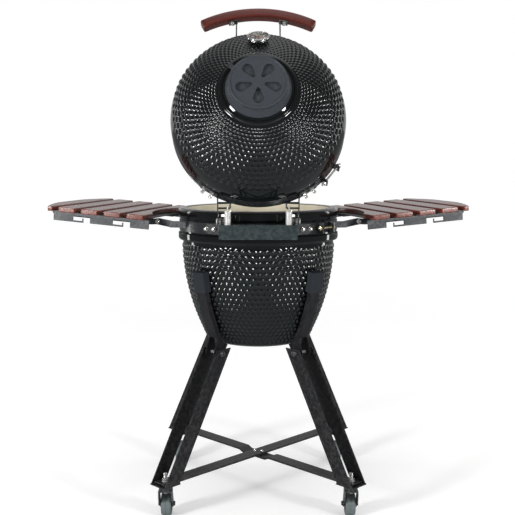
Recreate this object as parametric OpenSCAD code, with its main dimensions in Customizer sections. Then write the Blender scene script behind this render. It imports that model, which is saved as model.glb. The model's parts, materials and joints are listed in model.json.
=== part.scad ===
// Kamado ceramic grill: a glazed pot and hinged dome on a wheeled four-legged stand,
// with a folding slatted table on each side.
// +Z is up, the origin is on the floor under the pot's axis, and the lid's hinge is at -Y.
// The lid is drawn closed and then turned open about its hinge; the tables are drawn raised.

/* [Pot] */
// Height of the pot's rim above the floor
rim_height = 960; // [940:5:980]
// Outer radius of the thick collar under the rim
collar_radius = 265; // [264:0.5:267]
// Height of the collar
collar_height = 96; // [90:1:100]
// Outer radius of the bowl just under the collar
bowl_radius = 250; // [248:1:252]
// Depth of the bowl below the collar
bowl_depth = 340; // [330:5:345]
// Radius of the bowl's side, seen in section
bowl_curve = 700; // [680:10:720]
// Thickness of the bowl's ceramic wall
bowl_wall = 24; // [22:1:26]
// Inner radius of the mouth
mouth_radius = 232; // [230:1:234]
// Thickness of each felt gasket
gasket_thickness = 2.5; // [2:0.1:2.5]

/* [Lid] */
// Angle that the lid stands open at rest
lid_open_angle = 65; // [60:1:66]
// Distance of the hinge pins behind the pot's axis
hinge_back = 299; // [298:1:301]
// Depth of the hinge pins below the rim
hinge_drop = 23; // [22:1:24]
// Outer radius of the dome at its rim
dome_radius = 266; // [265:0.5:267]
// Rise of the dome's curved part
dome_rise = 213; // [205:1:220]
// Thickness of the dome's ceramic wall
dome_wall = 22; // [20:1:24]
// Radius of the flue through the top of the dome
flue_radius = 58; // [54:1:62]

/* [Handle] */
// Inner radius of the curved wooden bar, about the pot's axis
handle_radius = 366; // [360:1:372]
// Thickness of the bar, along the radius
handle_thickness = 30; // [26:1:34]
// Height of the bar's section
handle_height = 33; // [28:1:36]
// Half of the angle that the bar spans
handle_half_angle = 27.7; // [24:0.1:30]
// Distance of each bracket from the middle of the bar
bracket_offset = 69; // [60:1:76]

/* [Vent cap] */
// Radius of the cap's flat top
cap_radius = 82.5; // [80:0.5:84]
// Height of the cap's top above the pot's rim
cap_height = 289; // [286:1:292]
// Number of petal openings
petal_count = 5; // [5:1:5]
// Turn of the damper disc from shut to open
damper_turn = 36; // [36:1:36]

/* [Bands and hinge] */
// Height of the steel straps
band_height = 34; // [30:1:36]
// Thickness of the steel straps
band_thickness = 3; // [2:0.5:3]
// Width of the hinge cover
cover_width = 236; // [230:1:240]
// Height of the hinge cover
cover_height = 42; // [38:1:44]
// Distance of each counterbalance spring from the middle
spring_offset = 92; // [90:1:94]
// Outer radius of a counterbalance spring
spring_radius = 10; // [8:0.5:10.5]

/* [Side tables] */
// Turn of each table's middle line towards the front
table_swing = 14.3; // [10:0.1:16]
// Upward tilt of each raised table
table_tilt = 4.4; // [2:0.1:6]
// Distance of the table's hinge pin from the pot's axis
table_hinge_reach = 292; // [290:1:294]
// Depth of the table's hinge pin below the rim
table_hinge_drop = 39; // [38:1:40]
// Number of slats in a table
slat_count = 5; // [4:1:5]
// Width of a slat
slat_width = 56.3; // [50:0.1:58]
// Distance from one slat to the next
slat_pitch = 78.6; // [76:0.1:80]
// Length of a slat
slat_length = 498; // [480:1:510]
// Thickness of a slat
slat_thickness = 16; // [14:0.5:18]
// Distance of the two rails from the table's middle line
rail_offset = 165; // [160:1:168]

/* [Stand] */
// Distance of a leg's bolt from the pot's axis
leg_top_reach = 196; // [194:1:198]
// Height of a leg's bolt
leg_top_height = 500; // [496:1:504]
// Distance of a caster's stem from the pot's axis
leg_foot_reach = 410; // [400:1:420]
// Width of a leg's two side plates
leg_width = 52; // [48:1:54]
// Thickness of the stand's sheet steel
stand_sheet = 3; // [2.5:0.1:3]
// Half of the outside width of a leg
leg_half_width = 34; // [34:0.5:36]
// Width of the crossed braces
brace_width = 46; // [40:1:50]

/* [Casters] */
// Height of the foot plates' top
foot_plate_top = 116; // [116:1:118]
// Radius of a caster wheel
wheel_radius = 37.5; // [36:0.5:38]
// Width of a caster wheel
wheel_width = 32; // [28:1:32]
// Distance of the wheel's axle behind the stem
caster_trail = 35; // [30:1:38]

/* [Hidden] */
$fn = 72;

// Clearances: between parts that only face each other, and between a pin and its bore
gap = 0.3;
running = 0.05;

// Pot, from the floor up
wall_top = rim_height - collar_height - 6;
pot_bottom = wall_top - bowl_depth;
pot_floor = 27;
bowl_centre = [bowl_radius - bowl_curve, wall_top];
groove_radius = collar_radius - 6;
groove_low = rim_height - 75;
groove_high = rim_height - 31;
side_turn = asin((bowl_depth - 40) / bowl_curve);
pot_band_radius = groove_radius + 0.2;
pot_band_outer = pot_band_radius + band_thickness;
pot_band_low = (groove_low + groove_high - band_height) / 2;
pot_band_middle = pot_band_low + band_height / 2;

// Lid, closed, from the gaskets up
lid_low = rim_height + 2 * gasket_thickness + gap;
lid_lip = 7;
lid_groove_low = lid_low + lid_lip;
lid_groove_high = lid_groove_low + band_height + 3;
lid_groove_radius = dome_radius - 4;
lid_band_radius = lid_groove_radius + 0.2;
lid_band_outer = lid_band_radius + band_thickness;
lid_band_middle = lid_groove_low + 1.5 + band_height / 2;
dome_start = lid_groove_high + 2;
dome_outer = [dome_radius, dome_rise];
dome_inner = [dome_radius - dome_wall - 4, dome_rise - dome_wall];
shoulder_radius = 113;
hinge_pivot = [-hinge_back, rim_height - hinge_drop];
hinge_pin_radius = 5;

// Vent cap, on the closed lid
cap_top = rim_height + cap_height;
cap_bottom = cap_top - 12;
damper_top = cap_bottom - gap;
damper_bottom = damper_top - 6;
damper_radius = 78;
damper_pin_radius = 5;
damper_tab_angle = 144;
neck_low = dome_start + dome_rise * sqrt(1 - pow(95 / dome_radius, 2)) + 0.5;

// Thermometer, on the front of the dome
thermometer_rise = 50;
thermometer_radius = 33.5;
thermometer_spot = [dome_radius * cos(thermometer_rise), dome_start + dome_rise * sin(thermometer_rise)];
thermometer_lean = atan2(cos(thermometer_rise) / dome_radius, sin(thermometer_rise) / dome_rise);
thermometer_stem_radius = 4;
needle_pin_radius = 1.25;

// Handle
handle_low = lid_low + 13;
handle_bolt_angle = 13;

// Hinge
hinge_side_x = 109;
hinge_arm_x = 119.5;
cover_back = hinge_back + 26;
cover_low = pot_band_middle - cover_height / 2 - 1;
spring_y = -(hinge_back + 13);
spring_anchor_z = cover_low + 10;
spring_hook_z = rim_height + 17;
spring_loop_y = spring_y - 4;
flange_bolt_angles = [30.6, 36.5];
clamp_angles = [46, 58];

// Draft opening at the front of the pot
draft_width = 90;
draft_height = 44;
draft_low = pot_bottom + 47;
draft_face = 216;
draft_sleeve = 2;
draft_door_width = 98;
door_thickness = 2.5;

// Tables: slats and frame, measured from the hinge pin in the table's own tilted plane
table_hinge_height = rim_height - table_hinge_drop;
slat_start = 21.8;
slat_top = 22.9;
slat_bottom = slat_top - slat_thickness;
slat_inner_curve = 353;
slat_outer_curve = 690;
rail_low = -13;
rail_thickness = 3.6;
rail_end = 375;
apron_offset = 238;
apron_low = slat_bottom - 29;
apron_start = 4;
apron_end = 334;
hook_starts = [68, 206];
hook_length = 59;
table_pin_radius = 4;

// Stand
leg_bolt_radius = 5;
cradle_inner = bowl_curve + 8;
cradle_outer = cradle_inner + 16;
cradle_half_width = leg_half_width - 13;
pad_low_turn = asin((wall_top - 705) / bowl_curve);
pad_high_turn = asin((wall_top - 770) / bowl_curve);
foot_size = 68;
foot_plate_low = foot_plate_top - 4;
brace_height = 7;
brace_joggle = 7.6;
brace_end = leg_foot_reach + 24;
stem_radius = 6;
fork_half_width = 21.5;
fork_sheet = 3;
crown_low = foot_plate_low - 19.7;
axle_radius = 4;

// ---------- shared shapes ----------

function arc_points(centre, radius, from, to, steps) =
  [for (i = [0 : steps]) let (a = from + (to - from) * i / steps)
    [centre[0] + radius * cos(a), centre[1] + radius * sin(a)]];

function bend_points(start, pull, end, steps) =
  [for (i = [0 : steps]) let (t = i / steps)
    (1 - t) * (1 - t) * start + 2 * t * (1 - t) * pull + t * t * end];

function ellipse_points(size, height, from, to, steps) =
  [for (i = [0 : steps]) let (a = from + (to - from) * i / steps)
    [size[0] * cos(a), height + size[1] * sin(a)]];

// The side of the bowl in section, from the top down, set in from the outside by inset
function bowl_side(inset, turn) = arc_points(bowl_centre, bowl_curve - inset, 0, -turn, 16);

function reversed(list) = [for (i = [len(list) - 1 : -1 : 0]) list[i]];

// Two round ends joined by their outer tangents
module link(p, r, q, s) {
  reach = norm(q - p);
  heading = atan2(q[1] - p[1], q[0] - p[0]);
  lean = acos((r - s) / reach);
  a = [cos(heading + lean), sin(heading + lean)];
  b = [cos(heading - lean), sin(heading - lean)];
  translate(p) circle(r);
  translate(q) circle(s);
  polygon([p + r * a, q + s * a, q + s * b, p + r * b]);
}

// A sheet cut to a flat outline given in the Y-Z plane, from x0 to x1
module sheet_x(x0, x1) {
  translate([x0, 0, 0]) rotate([90, 0, 90]) linear_extrude(x1 - x0) children();
}

// A round bar along X
module bar_x(x0, x1, y, z, radius) {
  translate([x0, y, z]) rotate([0, 90, 0]) cylinder(h = x1 - x0, r = radius);
}

// A round bar along Y
module bar_y(y0, y1, x, z, radius) {
  translate([x, y0, z]) rotate([-90, 0, 0]) cylinder(h = y1 - y0, r = radius);
}

module mirrored_x() {
  children();
  mirror([1, 0, 0]) children();
}

// Puts a shape drawn on the closed lid where the open lid carries it
module on_lid() {
  translate([0, hinge_pivot[0], hinge_pivot[1]]) rotate([lid_open_angle, 0, 0])
    translate([0, -hinge_pivot[0], -hinge_pivot[1]]) children();
}

// Turns a shape drawn at the back of the grill round the pot's axis, towards +X
module round_back(angle) {
  rotate([0, 0, angle]) children();
}

module ring(outer, inner, low, high) {
  translate([0, 0, low]) difference() {
    cylinder(h = high - low, r = outer);
    translate([0, 0, -1]) cylinder(h = high - low + 2, r = inner);
  }
}

// A bolt lying along -Y at the back of the grill: shank, collar and domed nut
module band_bolt(radius, height, length) {
  translate([0, -radius + 3, height]) rotate([90, 0, 0]) {
    cylinder(h = length, r = 3);
    translate([0, 0, 6.2]) cylinder(h = 5, r = 6.5, $fn = 6);
    translate([0, 0, length - 4]) cylinder(h = 4, r = 4.5);
  }
}

// The two turned-up ears of a strap, and the long screw that draws them together
module clamp_ears(radius, low) {
  for (angle = clamp_angles) round_back(angle)
    translate([-1.5, -radius - 22, low]) cube([3, 22.5, band_height]);
}

module clamp_screw(radius, middle) {
  turn = (clamp_angles[0] + clamp_angles[1]) / 2;
  reach = radius + 13;
  half = reach * sin((clamp_angles[1] - clamp_angles[0]) / 2);
  drop = reach * cos((clamp_angles[1] - clamp_angles[0]) / 2);
  round_back(turn) {
    bar_x(-half - 16, half + 16, -drop, middle, 3.5);
    for (x = [-half - 10, half + 3]) bar_x(x, x + 7, -drop, middle, 8);
  }
}

// ---------- ceramic ----------

module pot_outline() {
  side_end = bowl_centre + bowl_curve * [cos(side_turn), -sin(side_turn)];
  inner_curve = bowl_curve - bowl_wall;
  inner_turn = asin((bowl_depth - 72) / inner_curve);
  inner_end = bowl_centre + inner_curve * [cos(inner_turn), -sin(inner_turn)];
  floor_z = pot_bottom + pot_floor;
  polygon(concat(
    [[0, pot_bottom]],
    bend_points([side_end[0] - 48, pot_bottom], [side_end[0] - 12, pot_bottom], side_end, 8),
    reversed(bowl_side(0, side_turn)),
    [[collar_radius - 3, wall_top + 4], [collar_radius, wall_top + 8],
      [collar_radius, groove_low - 3], [groove_radius, groove_low],
      [groove_radius, groove_high], [collar_radius, groove_high + 3]],
    arc_points([collar_radius - 8, rim_height - 8], 8, 0, 90, 6),
    [[mouth_radius + 3, rim_height], [mouth_radius, rim_height - 3],
      [mouth_radius, rim_height - 24]],
    arc_points(bowl_centre, inner_curve, 0, -inner_turn, 16),
    bend_points(inner_end, [inner_end[0] - 10, floor_z], [inner_end[0] - 40, floor_z], 6),
    [[0, floor_z]]));
}

module pot() {
  color([0.05, 0.07, 0.06]) difference() {
    rotate_extrude($fn = 96) pot_outline();
    translate([-draft_width / 2 - draft_sleeve - gap, 100, draft_low - draft_sleeve - gap])
      cube([draft_width + 2 * draft_sleeve + 2 * gap, 120, draft_height + 2 * draft_sleeve + 2 * gap]);
  }
}

module pot_gasket() {
  color([0.12, 0.12, 0.12]) ring(mouth_radius + 24, mouth_radius + 3, rim_height, rim_height + gasket_thickness);
}

module firebox_wall(low, high, outer, inner) {
  // A ring whose sides follow the bowl, set in from it by outer and inner
  low_turn = asin((wall_top - low) / (bowl_curve - outer));
  high_turn = asin((wall_top - high) / (bowl_curve - outer));
  rotate_extrude($fn = 96) polygon(concat(
    arc_points(bowl_centre, bowl_curve - outer, -low_turn, -high_turn, 8),
    arc_points(bowl_centre, bowl_curve - inner, -high_turn, -low_turn, 8)));
}

module firebox() {
  low = pot_bottom + pot_floor + 12;
  color([0.80, 0.77, 0.66]) difference() {
    union() {
      firebox_wall(low, 756, 36, 58);
      ring(140, 95, low + 44, low + 58);
    }
    translate([-60, 60, low - 5]) cube([120, 140, 46]);
  }
}

module fire_ring() {
  color([0.80, 0.77, 0.66]) firebox_wall(760, wall_top, 36, 56);
}

module charcoal_grate() {
  level = pot_bottom + pot_floor + 12 + 58.3;
  color([0.15, 0.15, 0.15]) difference() {
    translate([0, 0, level]) cylinder(h = 8, r = 116);
    for (row = [-3 : 3]) for (place = [-4 : 4]) {
      spot = [place * 26 + (row % 2) * 13, row * 23];
      if (norm(spot) < 92) translate([spot[0], spot[1], level - 1]) cylinder(h = 10, r = 8, $fn = 24);
    }
  }
}

module cooking_grate() {
  radius = 212;
  low = wall_top + 0.2;
  color([0.72, 0.72, 0.71]) {
    ring(radius, radius - 7, low, low + 10);
    for (place = [-9 : 9]) {
      y = place * 21;
      half = sqrt(pow(radius - 4, 2) - y * y);
      translate([-half, y - 2.5, low + 4]) cube([2 * half, 5, 6]);
    }
    for (x = [-90, 90]) {
      half = sqrt(pow(radius - 4, 2) - x * x);
      translate([x - 3, -half, low]) cube([6, 2 * half, 5]);
    }
  }
}

module lid_dome() {
  start = asin(2 / dome_rise);
  outer_end = acos(shoulder_radius / dome_radius);
  shoulder_z = dome_start + dome_rise * sin(outer_end);
  inner_end = acos((flue_radius + 12) / dome_inner[0]);
  neck_top = neck_low - 0.5;
  color([0.05, 0.07, 0.06]) on_lid() difference() {
    rotate_extrude($fn = 96) polygon(concat(
      [[dome_radius - 2, lid_low], [dome_radius, lid_low + 2], [dome_radius, lid_groove_low - 2],
        [lid_groove_radius, lid_groove_low], [lid_groove_radius, lid_groove_high],
        [dome_radius, dome_start]],
      ellipse_points(dome_outer, dome_start, start, outer_end, 20),
      [[shoulder_radius - 4, shoulder_z + 3], [shoulder_radius - 12, shoulder_z + 3.5],
        [95, neck_top], [flue_radius, neck_top], [flue_radius, neck_top - 20]],
      reversed(ellipse_points(dome_inner, dome_start, 0, inner_end, 20)),
      [[dome_inner[0], lid_low]]));
    on_dome_front() translate([0, 0, -60]) cylinder(h = 80, r = 8 + gap);
  }
}

module lid_gasket() {
  color([0.12, 0.12, 0.12]) on_lid()
    ring(dome_radius - 5, dome_inner[0] + 2, lid_low - gasket_thickness, lid_low);
}

// ---------- straps and hinge ----------

module pot_band() {
  color([0.08, 0.08, 0.09]) {
    ring(pot_band_outer, pot_band_radius, pot_band_low, pot_band_low + band_height);
    clamp_ears(pot_band_outer, pot_band_low);
  }
}

module pot_band_bolts() {
  color([0.78, 0.78, 0.76]) {
    for (side = [-1, 1]) for (angle = flange_bolt_angles) round_back(side * angle)
      band_bolt(pot_band_outer, pot_band_middle, 20);
    clamp_screw(pot_band_outer, pot_band_middle);
  }
}

module lid_band() {
  low = lid_groove_low + 1.5;
  color([0.08, 0.08, 0.09]) on_lid() {
    ring(lid_band_outer, lid_band_radius, low, low + band_height);
    clamp_ears(lid_band_outer, low);
  }
}

module lid_band_bolts() {
  color([0.78, 0.78, 0.76]) on_lid() {
    for (side = [-1, 1]) for (angle = flange_bolt_angles) round_back(side * angle)
      band_bolt(lid_band_outer, lid_band_middle, 23);
    clamp_screw(lid_band_outer, lid_band_middle);
  }
}

module hinge_base() {
  wall_front = -sqrt(pow(pot_band_outer, 2) - pow(hinge_side_x, 2)) - 0.6;
  back = -(cover_back - 3);
  color([0.07, 0.08, 0.08]) {
    mirrored_x() {
      difference() {
        sheet_x(hinge_side_x, hinge_side_x + 3) {
          polygon([[wall_front, cover_low], [back, cover_low], [back, cover_low + cover_height - 1],
            [wall_front, cover_low + cover_height - 1]]);
          link(hinge_pivot, 12, [hinge_pivot[0], cover_low + cover_height - 8], 16);
        }
        bar_x(hinge_side_x - 1, hinge_side_x + 4, hinge_pivot[0], hinge_pivot[1], hinge_pin_radius + 0.02);
      }
      round_back(flange_bolt_angles[0])
        translate([-31, -pot_band_outer - 3.2, pot_band_low + 2]) cube([62, 3, band_height - 4]);
    }
    translate([-hinge_side_x - 1, -pot_band_outer - 4, cover_low])
      cube([2 * hinge_side_x + 2, 3, cover_height - 1]);
    bar_x(-hinge_side_x - 1, hinge_side_x + 1, spring_y, spring_anchor_z, 3);
  }
}

module hinge_cover() {
  color([0.20, 0.26, 0.27]) translate([-cover_width / 2, -cover_back, cover_low - 2]) {
    cube([cover_width, 3 - 0.2, cover_height + 2]);
    cube([cover_width, 40, 1.8]);
  }
}

module hinge_pins() {
  color([0.72, 0.72, 0.72]) mirrored_x() {
    bar_x(hinge_side_x - 6, hinge_arm_x + 8, hinge_pivot[0], hinge_pivot[1], hinge_pin_radius);
    bar_x(hinge_side_x - 6, hinge_side_x - 0.3, hinge_pivot[0], hinge_pivot[1], 7);
    bar_x(hinge_side_x + 3.2, hinge_arm_x - gap, hinge_pivot[0], hinge_pivot[1], 7.5);
    bar_x(hinge_arm_x + 3 + gap, hinge_arm_x + 8, hinge_pivot[0], hinge_pivot[1], 8.5);
  }
}

// A flat hook eye round a bar that runs along X
module spring_hook(x, y, z) {
  difference() {
    bar_x(x - 1.4, x + 1.4, y, z, 8);
    bar_x(x - 2, x + 2, y, z, 5);
  }
}

module hinge_springs() {
  coil_low = spring_anchor_z + 10;
  coil_high = spring_hook_z - 12;
  color([0.74, 0.73, 0.71]) mirrored_x() {
    translate([spring_offset, spring_y, coil_low]) cylinder(h = coil_high - coil_low, r = spring_radius);
    translate([spring_offset - 1.4, spring_y - 1.4, spring_anchor_z + 6.5])
      cube([2.8, 2.8, spring_hook_z - spring_anchor_z - 13]);
    spring_hook(spring_offset, spring_y, spring_anchor_z);
    spring_hook(spring_offset, spring_y, spring_hook_z);
  }
}

module hinge_arms() {
  arm_top = [-(hinge_back - 47), hinge_pivot[1] + 50];
  middle = (flange_bolt_angles[0] + flange_bolt_angles[1]) / 2;
  inner_x = spring_offset - 8;
  color([0.07, 0.08, 0.08]) {
    on_lid() mirrored_x() {
      difference() {
        sheet_x(hinge_arm_x, hinge_arm_x + 3) link(hinge_pivot, 11, arm_top, 14);
        bar_x(hinge_arm_x - 1, hinge_arm_x + 4, hinge_pivot[0], hinge_pivot[1], hinge_pin_radius + running);
      }
      round_back(middle) translate([-31, -lid_band_outer - 3.4, lid_band_middle - 15]) cube([62, 3, 30]);
    }
    mirrored_x() {
      for (z = [spring_hook_z, spring_hook_z + 16])
        bar_x(inner_x, hinge_arm_x + 1, spring_loop_y + 4, z, 2.8);
      translate([inner_x, spring_loop_y + 4, spring_hook_z]) cylinder(h = 16, r = 2.8);
    }
  }
}

// ---------- handle ----------

module handle_bar() {
  round = 5;
  low = handle_low;
  high = low + handle_height;
  inner = handle_radius;
  outer = inner + handle_thickness;
  color([0.47, 0.20, 0.14]) on_lid() rotate([0, 0, 90 - handle_half_angle])
    rotate_extrude(angle = 2 * handle_half_angle, $fn = 144) polygon(concat(
      arc_points([inner + round, low + round], round, 180, 270, 4),
      arc_points([outer - round, low + round], round, 270, 360, 4),
      arc_points([outer - round, high - round], round, 0, 90, 4),
      arc_points([inner + round, high - round], round, 90, 180, 4)));
}

module handle_brackets() {
  low = lid_band_middle - 11;
  band_angle = asin(bracket_offset / lid_band_outer);
  bar_angle = asin((bracket_offset + 12) / handle_radius);
  near = sqrt(pow(lid_band_outer, 2) - pow(bracket_offset, 2)) + 1.5;
  far = sqrt(pow(handle_radius, 2) - pow(bracket_offset + 4, 2)) - 1;
  color([0.10, 0.11, 0.11]) on_lid() mirrored_x() {
    translate([bracket_offset - 2, near, low]) cube([4, far - near, 22]);
    rotate([0, 0, -band_angle]) translate([-16, lid_band_outer + 0.3, low]) cube([34, 3, 22]);
    rotate([0, 0, -bar_angle]) translate([-15, handle_radius - 4.2, low]) cube([28, 3.6, 22]);
  }
}

module handle_bolts() {
  band_angle = asin(bracket_offset / lid_band_outer) + 2;
  color([0.78, 0.78, 0.76]) on_lid() for (side = [-1, 1]) {
    rotate([0, 0, -side * handle_bolt_angle]) {
      bar_y(handle_radius - 10, handle_radius + 16, 0, lid_band_middle, 3);
      bar_y(handle_radius - 9, handle_radius - 4.4, 0, lid_band_middle, 6.5);
    }
    rotate([0, 0, -side * band_angle]) {
      bar_y(lid_band_outer - 2.5, lid_band_outer + 11, 0, lid_band_middle, 3);
      bar_y(lid_band_outer + 3.5, lid_band_outer + 8, 0, lid_band_middle, 6.5);
    }
  }
}

// ---------- thermometer ----------

// Local +Z points straight out of the closed dome's front
module on_dome_front() {
  translate([0, thermometer_spot[0], thermometer_spot[1]]) rotate([-thermometer_lean, 0, 0]) children();
}

module thermometer_case() {
  color([0.80, 0.80, 0.80]) on_lid() on_dome_front() {
    difference() {
      rotate_extrude() polygon([[0, 7], [thermometer_radius - 6, 7], [thermometer_radius, 11],
        [thermometer_radius, 19], [thermometer_radius - 2, 21], [thermometer_radius - 5.5, 21],
        [thermometer_radius - 5.5, 19.2], [thermometer_radius - 2.5, 19.2],
        [thermometer_radius - 2.5, 9], [0, 9]]);
    }
    translate([0, 0, -8]) cylinder(h = 15.5, r = 8);
    translate([0, 0, -78]) cylinder(h = 72, r = thermometer_stem_radius);
  }
}

module thermometer_dial() {
  color([0.92, 0.92, 0.90]) on_lid() on_dome_front() difference() {
    translate([0, 0, 9.2]) cylinder(h = 1.2, r = thermometer_radius - 2.8);
    translate([0, 0, 9]) cylinder(h = 2, r = needle_pin_radius + running);
  }
}

module thermometer_needle() {
  color([0.75, 0.10, 0.08]) on_lid() on_dome_front() {
    translate([0, 0, 9.3]) cylinder(h = 5, r = needle_pin_radius);
    translate([0, 0, 12]) cylinder(h = 2, r = 3.5);
    rotate([0, 0, 135]) translate([-6, 0, 12.4]) linear_extrude(1)
      polygon([[0, -1.6], [30, -0.5], [30, 0.5], [0, 1.6]]);
  }
}

module thermometer_lens() {
  color([0.8, 0.85, 0.9, 0.4]) on_lid() on_dome_front()
    translate([0, 0, 17.2]) cylinder(h = 1.8, r = thermometer_radius - 2.8);
}

// ---------- vent ----------

module petal() {
  link([24, 0], 6, [51.5, 0], 15.3);
}

module petals(turn, low, high) {
  for (i = [0 : petal_count - 1]) rotate([0, 0, turn + i * 360 / petal_count])
    translate([0, 0, low]) linear_extrude(high - low) petal();
}

module vent_collar() {
  ledge = damper_bottom - gap;
  color([0.20, 0.22, 0.23]) on_lid() difference() {
    rotate_extrude() polygon([[flue_radius + 6, neck_low], [95, neck_low], [93, neck_low + 4],
      [86, cap_bottom - 5], [85, cap_bottom], [damper_radius + 0.8, cap_bottom],
      [damper_radius + 0.8, ledge], [damper_radius - 8, ledge], [damper_radius - 8, ledge - 6],
      [flue_radius + 6, neck_low + 6]]);
    intersection() {
      ring(120, damper_radius - 2, ledge, cap_bottom + 1);
      rotate([0, 0, damper_tab_angle - 6]) translate([0, 0, ledge - 0.1])
        rotate_extrude(angle = damper_turn + 12) square([130, 20]);
    }
  }
}

module vent_cap() {
  color([0.36, 0.38, 0.40]) on_lid() {
    difference() {
      rotate_extrude() polygon([[0, cap_bottom], [cap_radius + 1, cap_bottom], [cap_radius + 2, cap_top - 3],
        [cap_radius, cap_top], [cap_radius - 3.5, cap_top], [cap_radius - 5, cap_top - 2.5], [0, cap_top - 2.5]]);
      petals(-90, cap_bottom - 1, cap_top + 1);
    }
    translate([0, 0, damper_bottom - 4]) cylinder(h = cap_bottom - damper_bottom + 4.5, r = damper_pin_radius);
    translate([0, 0, damper_bottom - 4]) cylinder(h = 4 - gap, r = 10);
  }
}

module vent_disc() {
  color([0.30, 0.32, 0.34]) on_lid() difference() {
    union() {
      translate([0, 0, damper_bottom]) cylinder(h = damper_top - damper_bottom, r = damper_radius);
      rotate([0, 0, damper_tab_angle]) translate([damper_radius - 6, -7, damper_bottom]) cube([27, 14, 5.5]);
    }
    petals(-90 + damper_turn, damper_bottom - 1, damper_top + 1);
    translate([0, 0, damper_bottom - 1]) cylinder(h = 9, r = damper_pin_radius + running);
  }
}

// ---------- draft door ----------

module draft_frame() {
  half = 100;
  low = draft_low - 17;
  high = draft_low + draft_height + 17;
  seat = (wall_top - draft_low) / bowl_curve;
  color([0.20, 0.21, 0.21]) {
    difference() {
      translate([-half, 150, low]) cube([2 * half, draft_face - 150, high - low]);
      rotate_extrude($fn = 96) polygon(concat([[0, pot_bottom - 60]],
        arc_points(bowl_centre, bowl_curve + 4 * gap, -asin((bowl_depth + 40) / bowl_curve), 0, 24),
        [[0, wall_top]]));
      draft_hole(0, 120, 300);
    }
    difference() {
      draft_hole(draft_sleeve, 173, draft_face - 2);
      draft_hole(0, 120, 300);
    }
    for (z = [low, high - 14]) translate([-half, draft_face + 1.5 + door_thickness, z]) cube([2 * half, 1.5, 14]);
    for (z = [low, high - 6]) translate([-half, draft_face - 1, z]) cube([2 * half, door_thickness + 4, 6]);
  }
}

module draft_hole(margin, from, to) {
  translate([-draft_width / 2 - margin, from, draft_low - margin])
    cube([draft_width + 2 * margin, to - from, draft_height + 2 * margin]);
}

module draft_screen() {
  color([0.6, 0.6, 0.6]) difference() {
    draft_hole(0, 204, 205.5);
    for (column = [-5 : 5]) for (row = [0 : 4])
      bar_y(203, 207, column * 8, draft_low + 6 + row * 8, 2.8, $fn = 16);
  }
}

module draft_door() {
  low = draft_low - 10.5;
  color([0.62, 0.62, 0.62]) {
    translate([-draft_door_width / 2, draft_face + 0.3, low + 1])
      cube([draft_door_width, 0.9 + door_thickness - 1.2, draft_height + 19]);
    translate([-draft_door_width / 2 + 6, draft_face + 1, draft_low + 8]) cube([6, 16, 28]);
  }
}

// ---------- stand ----------

module on_diagonal(quarter) {
  rotate([0, 0, 45 + 90 * quarter]) children();
}

// A sheet cut to an outline in the radius-height plane, centred on the tangent distance y0 to y1
module sheet_r(y0, y1) {
  translate([0, y1, 0]) rotate([90, 0, 0]) linear_extrude(y1 - y0) children();
}

module leg_outline() {
  top = [leg_top_reach, leg_top_height];
  foot = [leg_foot_reach, foot_plate_top];
  along = (foot - top) / norm(foot - top);
  across = [-along[1], along[0]] * leg_width / 2;
  far = foot + along * 40;
  near = top - along * 60;
  intersection() {
    polygon([near + across, far + across, far - across, near - across]);
    translate([0, foot_plate_top]) square([600, leg_top_height + 14 - foot_plate_top]);
  }
}

module leg(quarter) {
  color([0.10, 0.10, 0.11]) on_diagonal(quarter) for (side = [-1, 1])
    difference() {
      sheet_r(side > 0 ? leg_half_width - stand_sheet : -leg_half_width,
        side > 0 ? leg_half_width : -leg_half_width + stand_sheet) leg_outline();
      bar_y(-60, 60, leg_top_reach, leg_top_height, leg_bolt_radius + 0.1);
    }
}

module cradle_outline(inner, outer) {
  low_turn = asin((wall_top - 548) / outer);
  high_turn = asin((wall_top - 765) / outer);
  polygon(concat(arc_points(bowl_centre, outer, -low_turn, -high_turn, 12),
    arc_points(bowl_centre, inner, -high_turn, -low_turn, 12)));
}

module cradle_arm(quarter) {
  top = [leg_top_reach, leg_top_height];
  low_turn = asin((wall_top - 548) / cradle_outer);
  corner_out = bowl_centre + cradle_outer * [cos(low_turn + 0.2), -sin(low_turn + 0.2)];
  corner_in = bowl_centre + cradle_inner * [cos(low_turn - 0.2), -sin(low_turn - 0.2)];
  color([0.10, 0.10, 0.11]) on_diagonal(quarter) {
    for (side = [-1, 1]) difference() {
      sheet_r(side > 0 ? cradle_half_width - stand_sheet : -cradle_half_width,
        side > 0 ? cradle_half_width : -cradle_half_width + stand_sheet) {
        cradle_outline(cradle_inner, cradle_outer);
        translate(top) circle(24);
        polygon([corner_out + [0, 6], corner_in + [0, 6], top + [-24, 0], top + [24, 0]]);
      }
      bar_y(-60, 60, leg_top_reach, leg_top_height, leg_bolt_radius + 0.1);
    }
    sheet_r(-cradle_half_width, cradle_half_width) cradle_outline(cradle_outer - stand_sheet, cradle_outer);
  }
}

module pad_outline(inner, outer, grow) {
  polygon(concat(arc_points(bowl_centre, outer, -pad_low_turn, -pad_high_turn + grow, 6),
    arc_points(bowl_centre, inner, -pad_high_turn + grow, -pad_low_turn, 6)));
}

module cradle_pads() {
  color([0.24, 0.28, 0.31]) for (quarter = [0 : 3]) on_diagonal(quarter) difference() {
    sheet_r(-cradle_half_width - 4, cradle_half_width + 4)
      pad_outline(bowl_curve + gap, cradle_outer + 4, 0);
    sheet_r(-cradle_half_width - 0.1, cradle_half_width + 0.1) polygon(concat(
      arc_points(bowl_centre, cradle_outer + 0.1, -pad_low_turn - 2, -asin((wall_top - 765.2) / cradle_outer), 6),
      arc_points(bowl_centre, cradle_inner - 0.1, -asin((wall_top - 765.2) / cradle_outer), -pad_low_turn - 2, 6)));
  }
}

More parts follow.
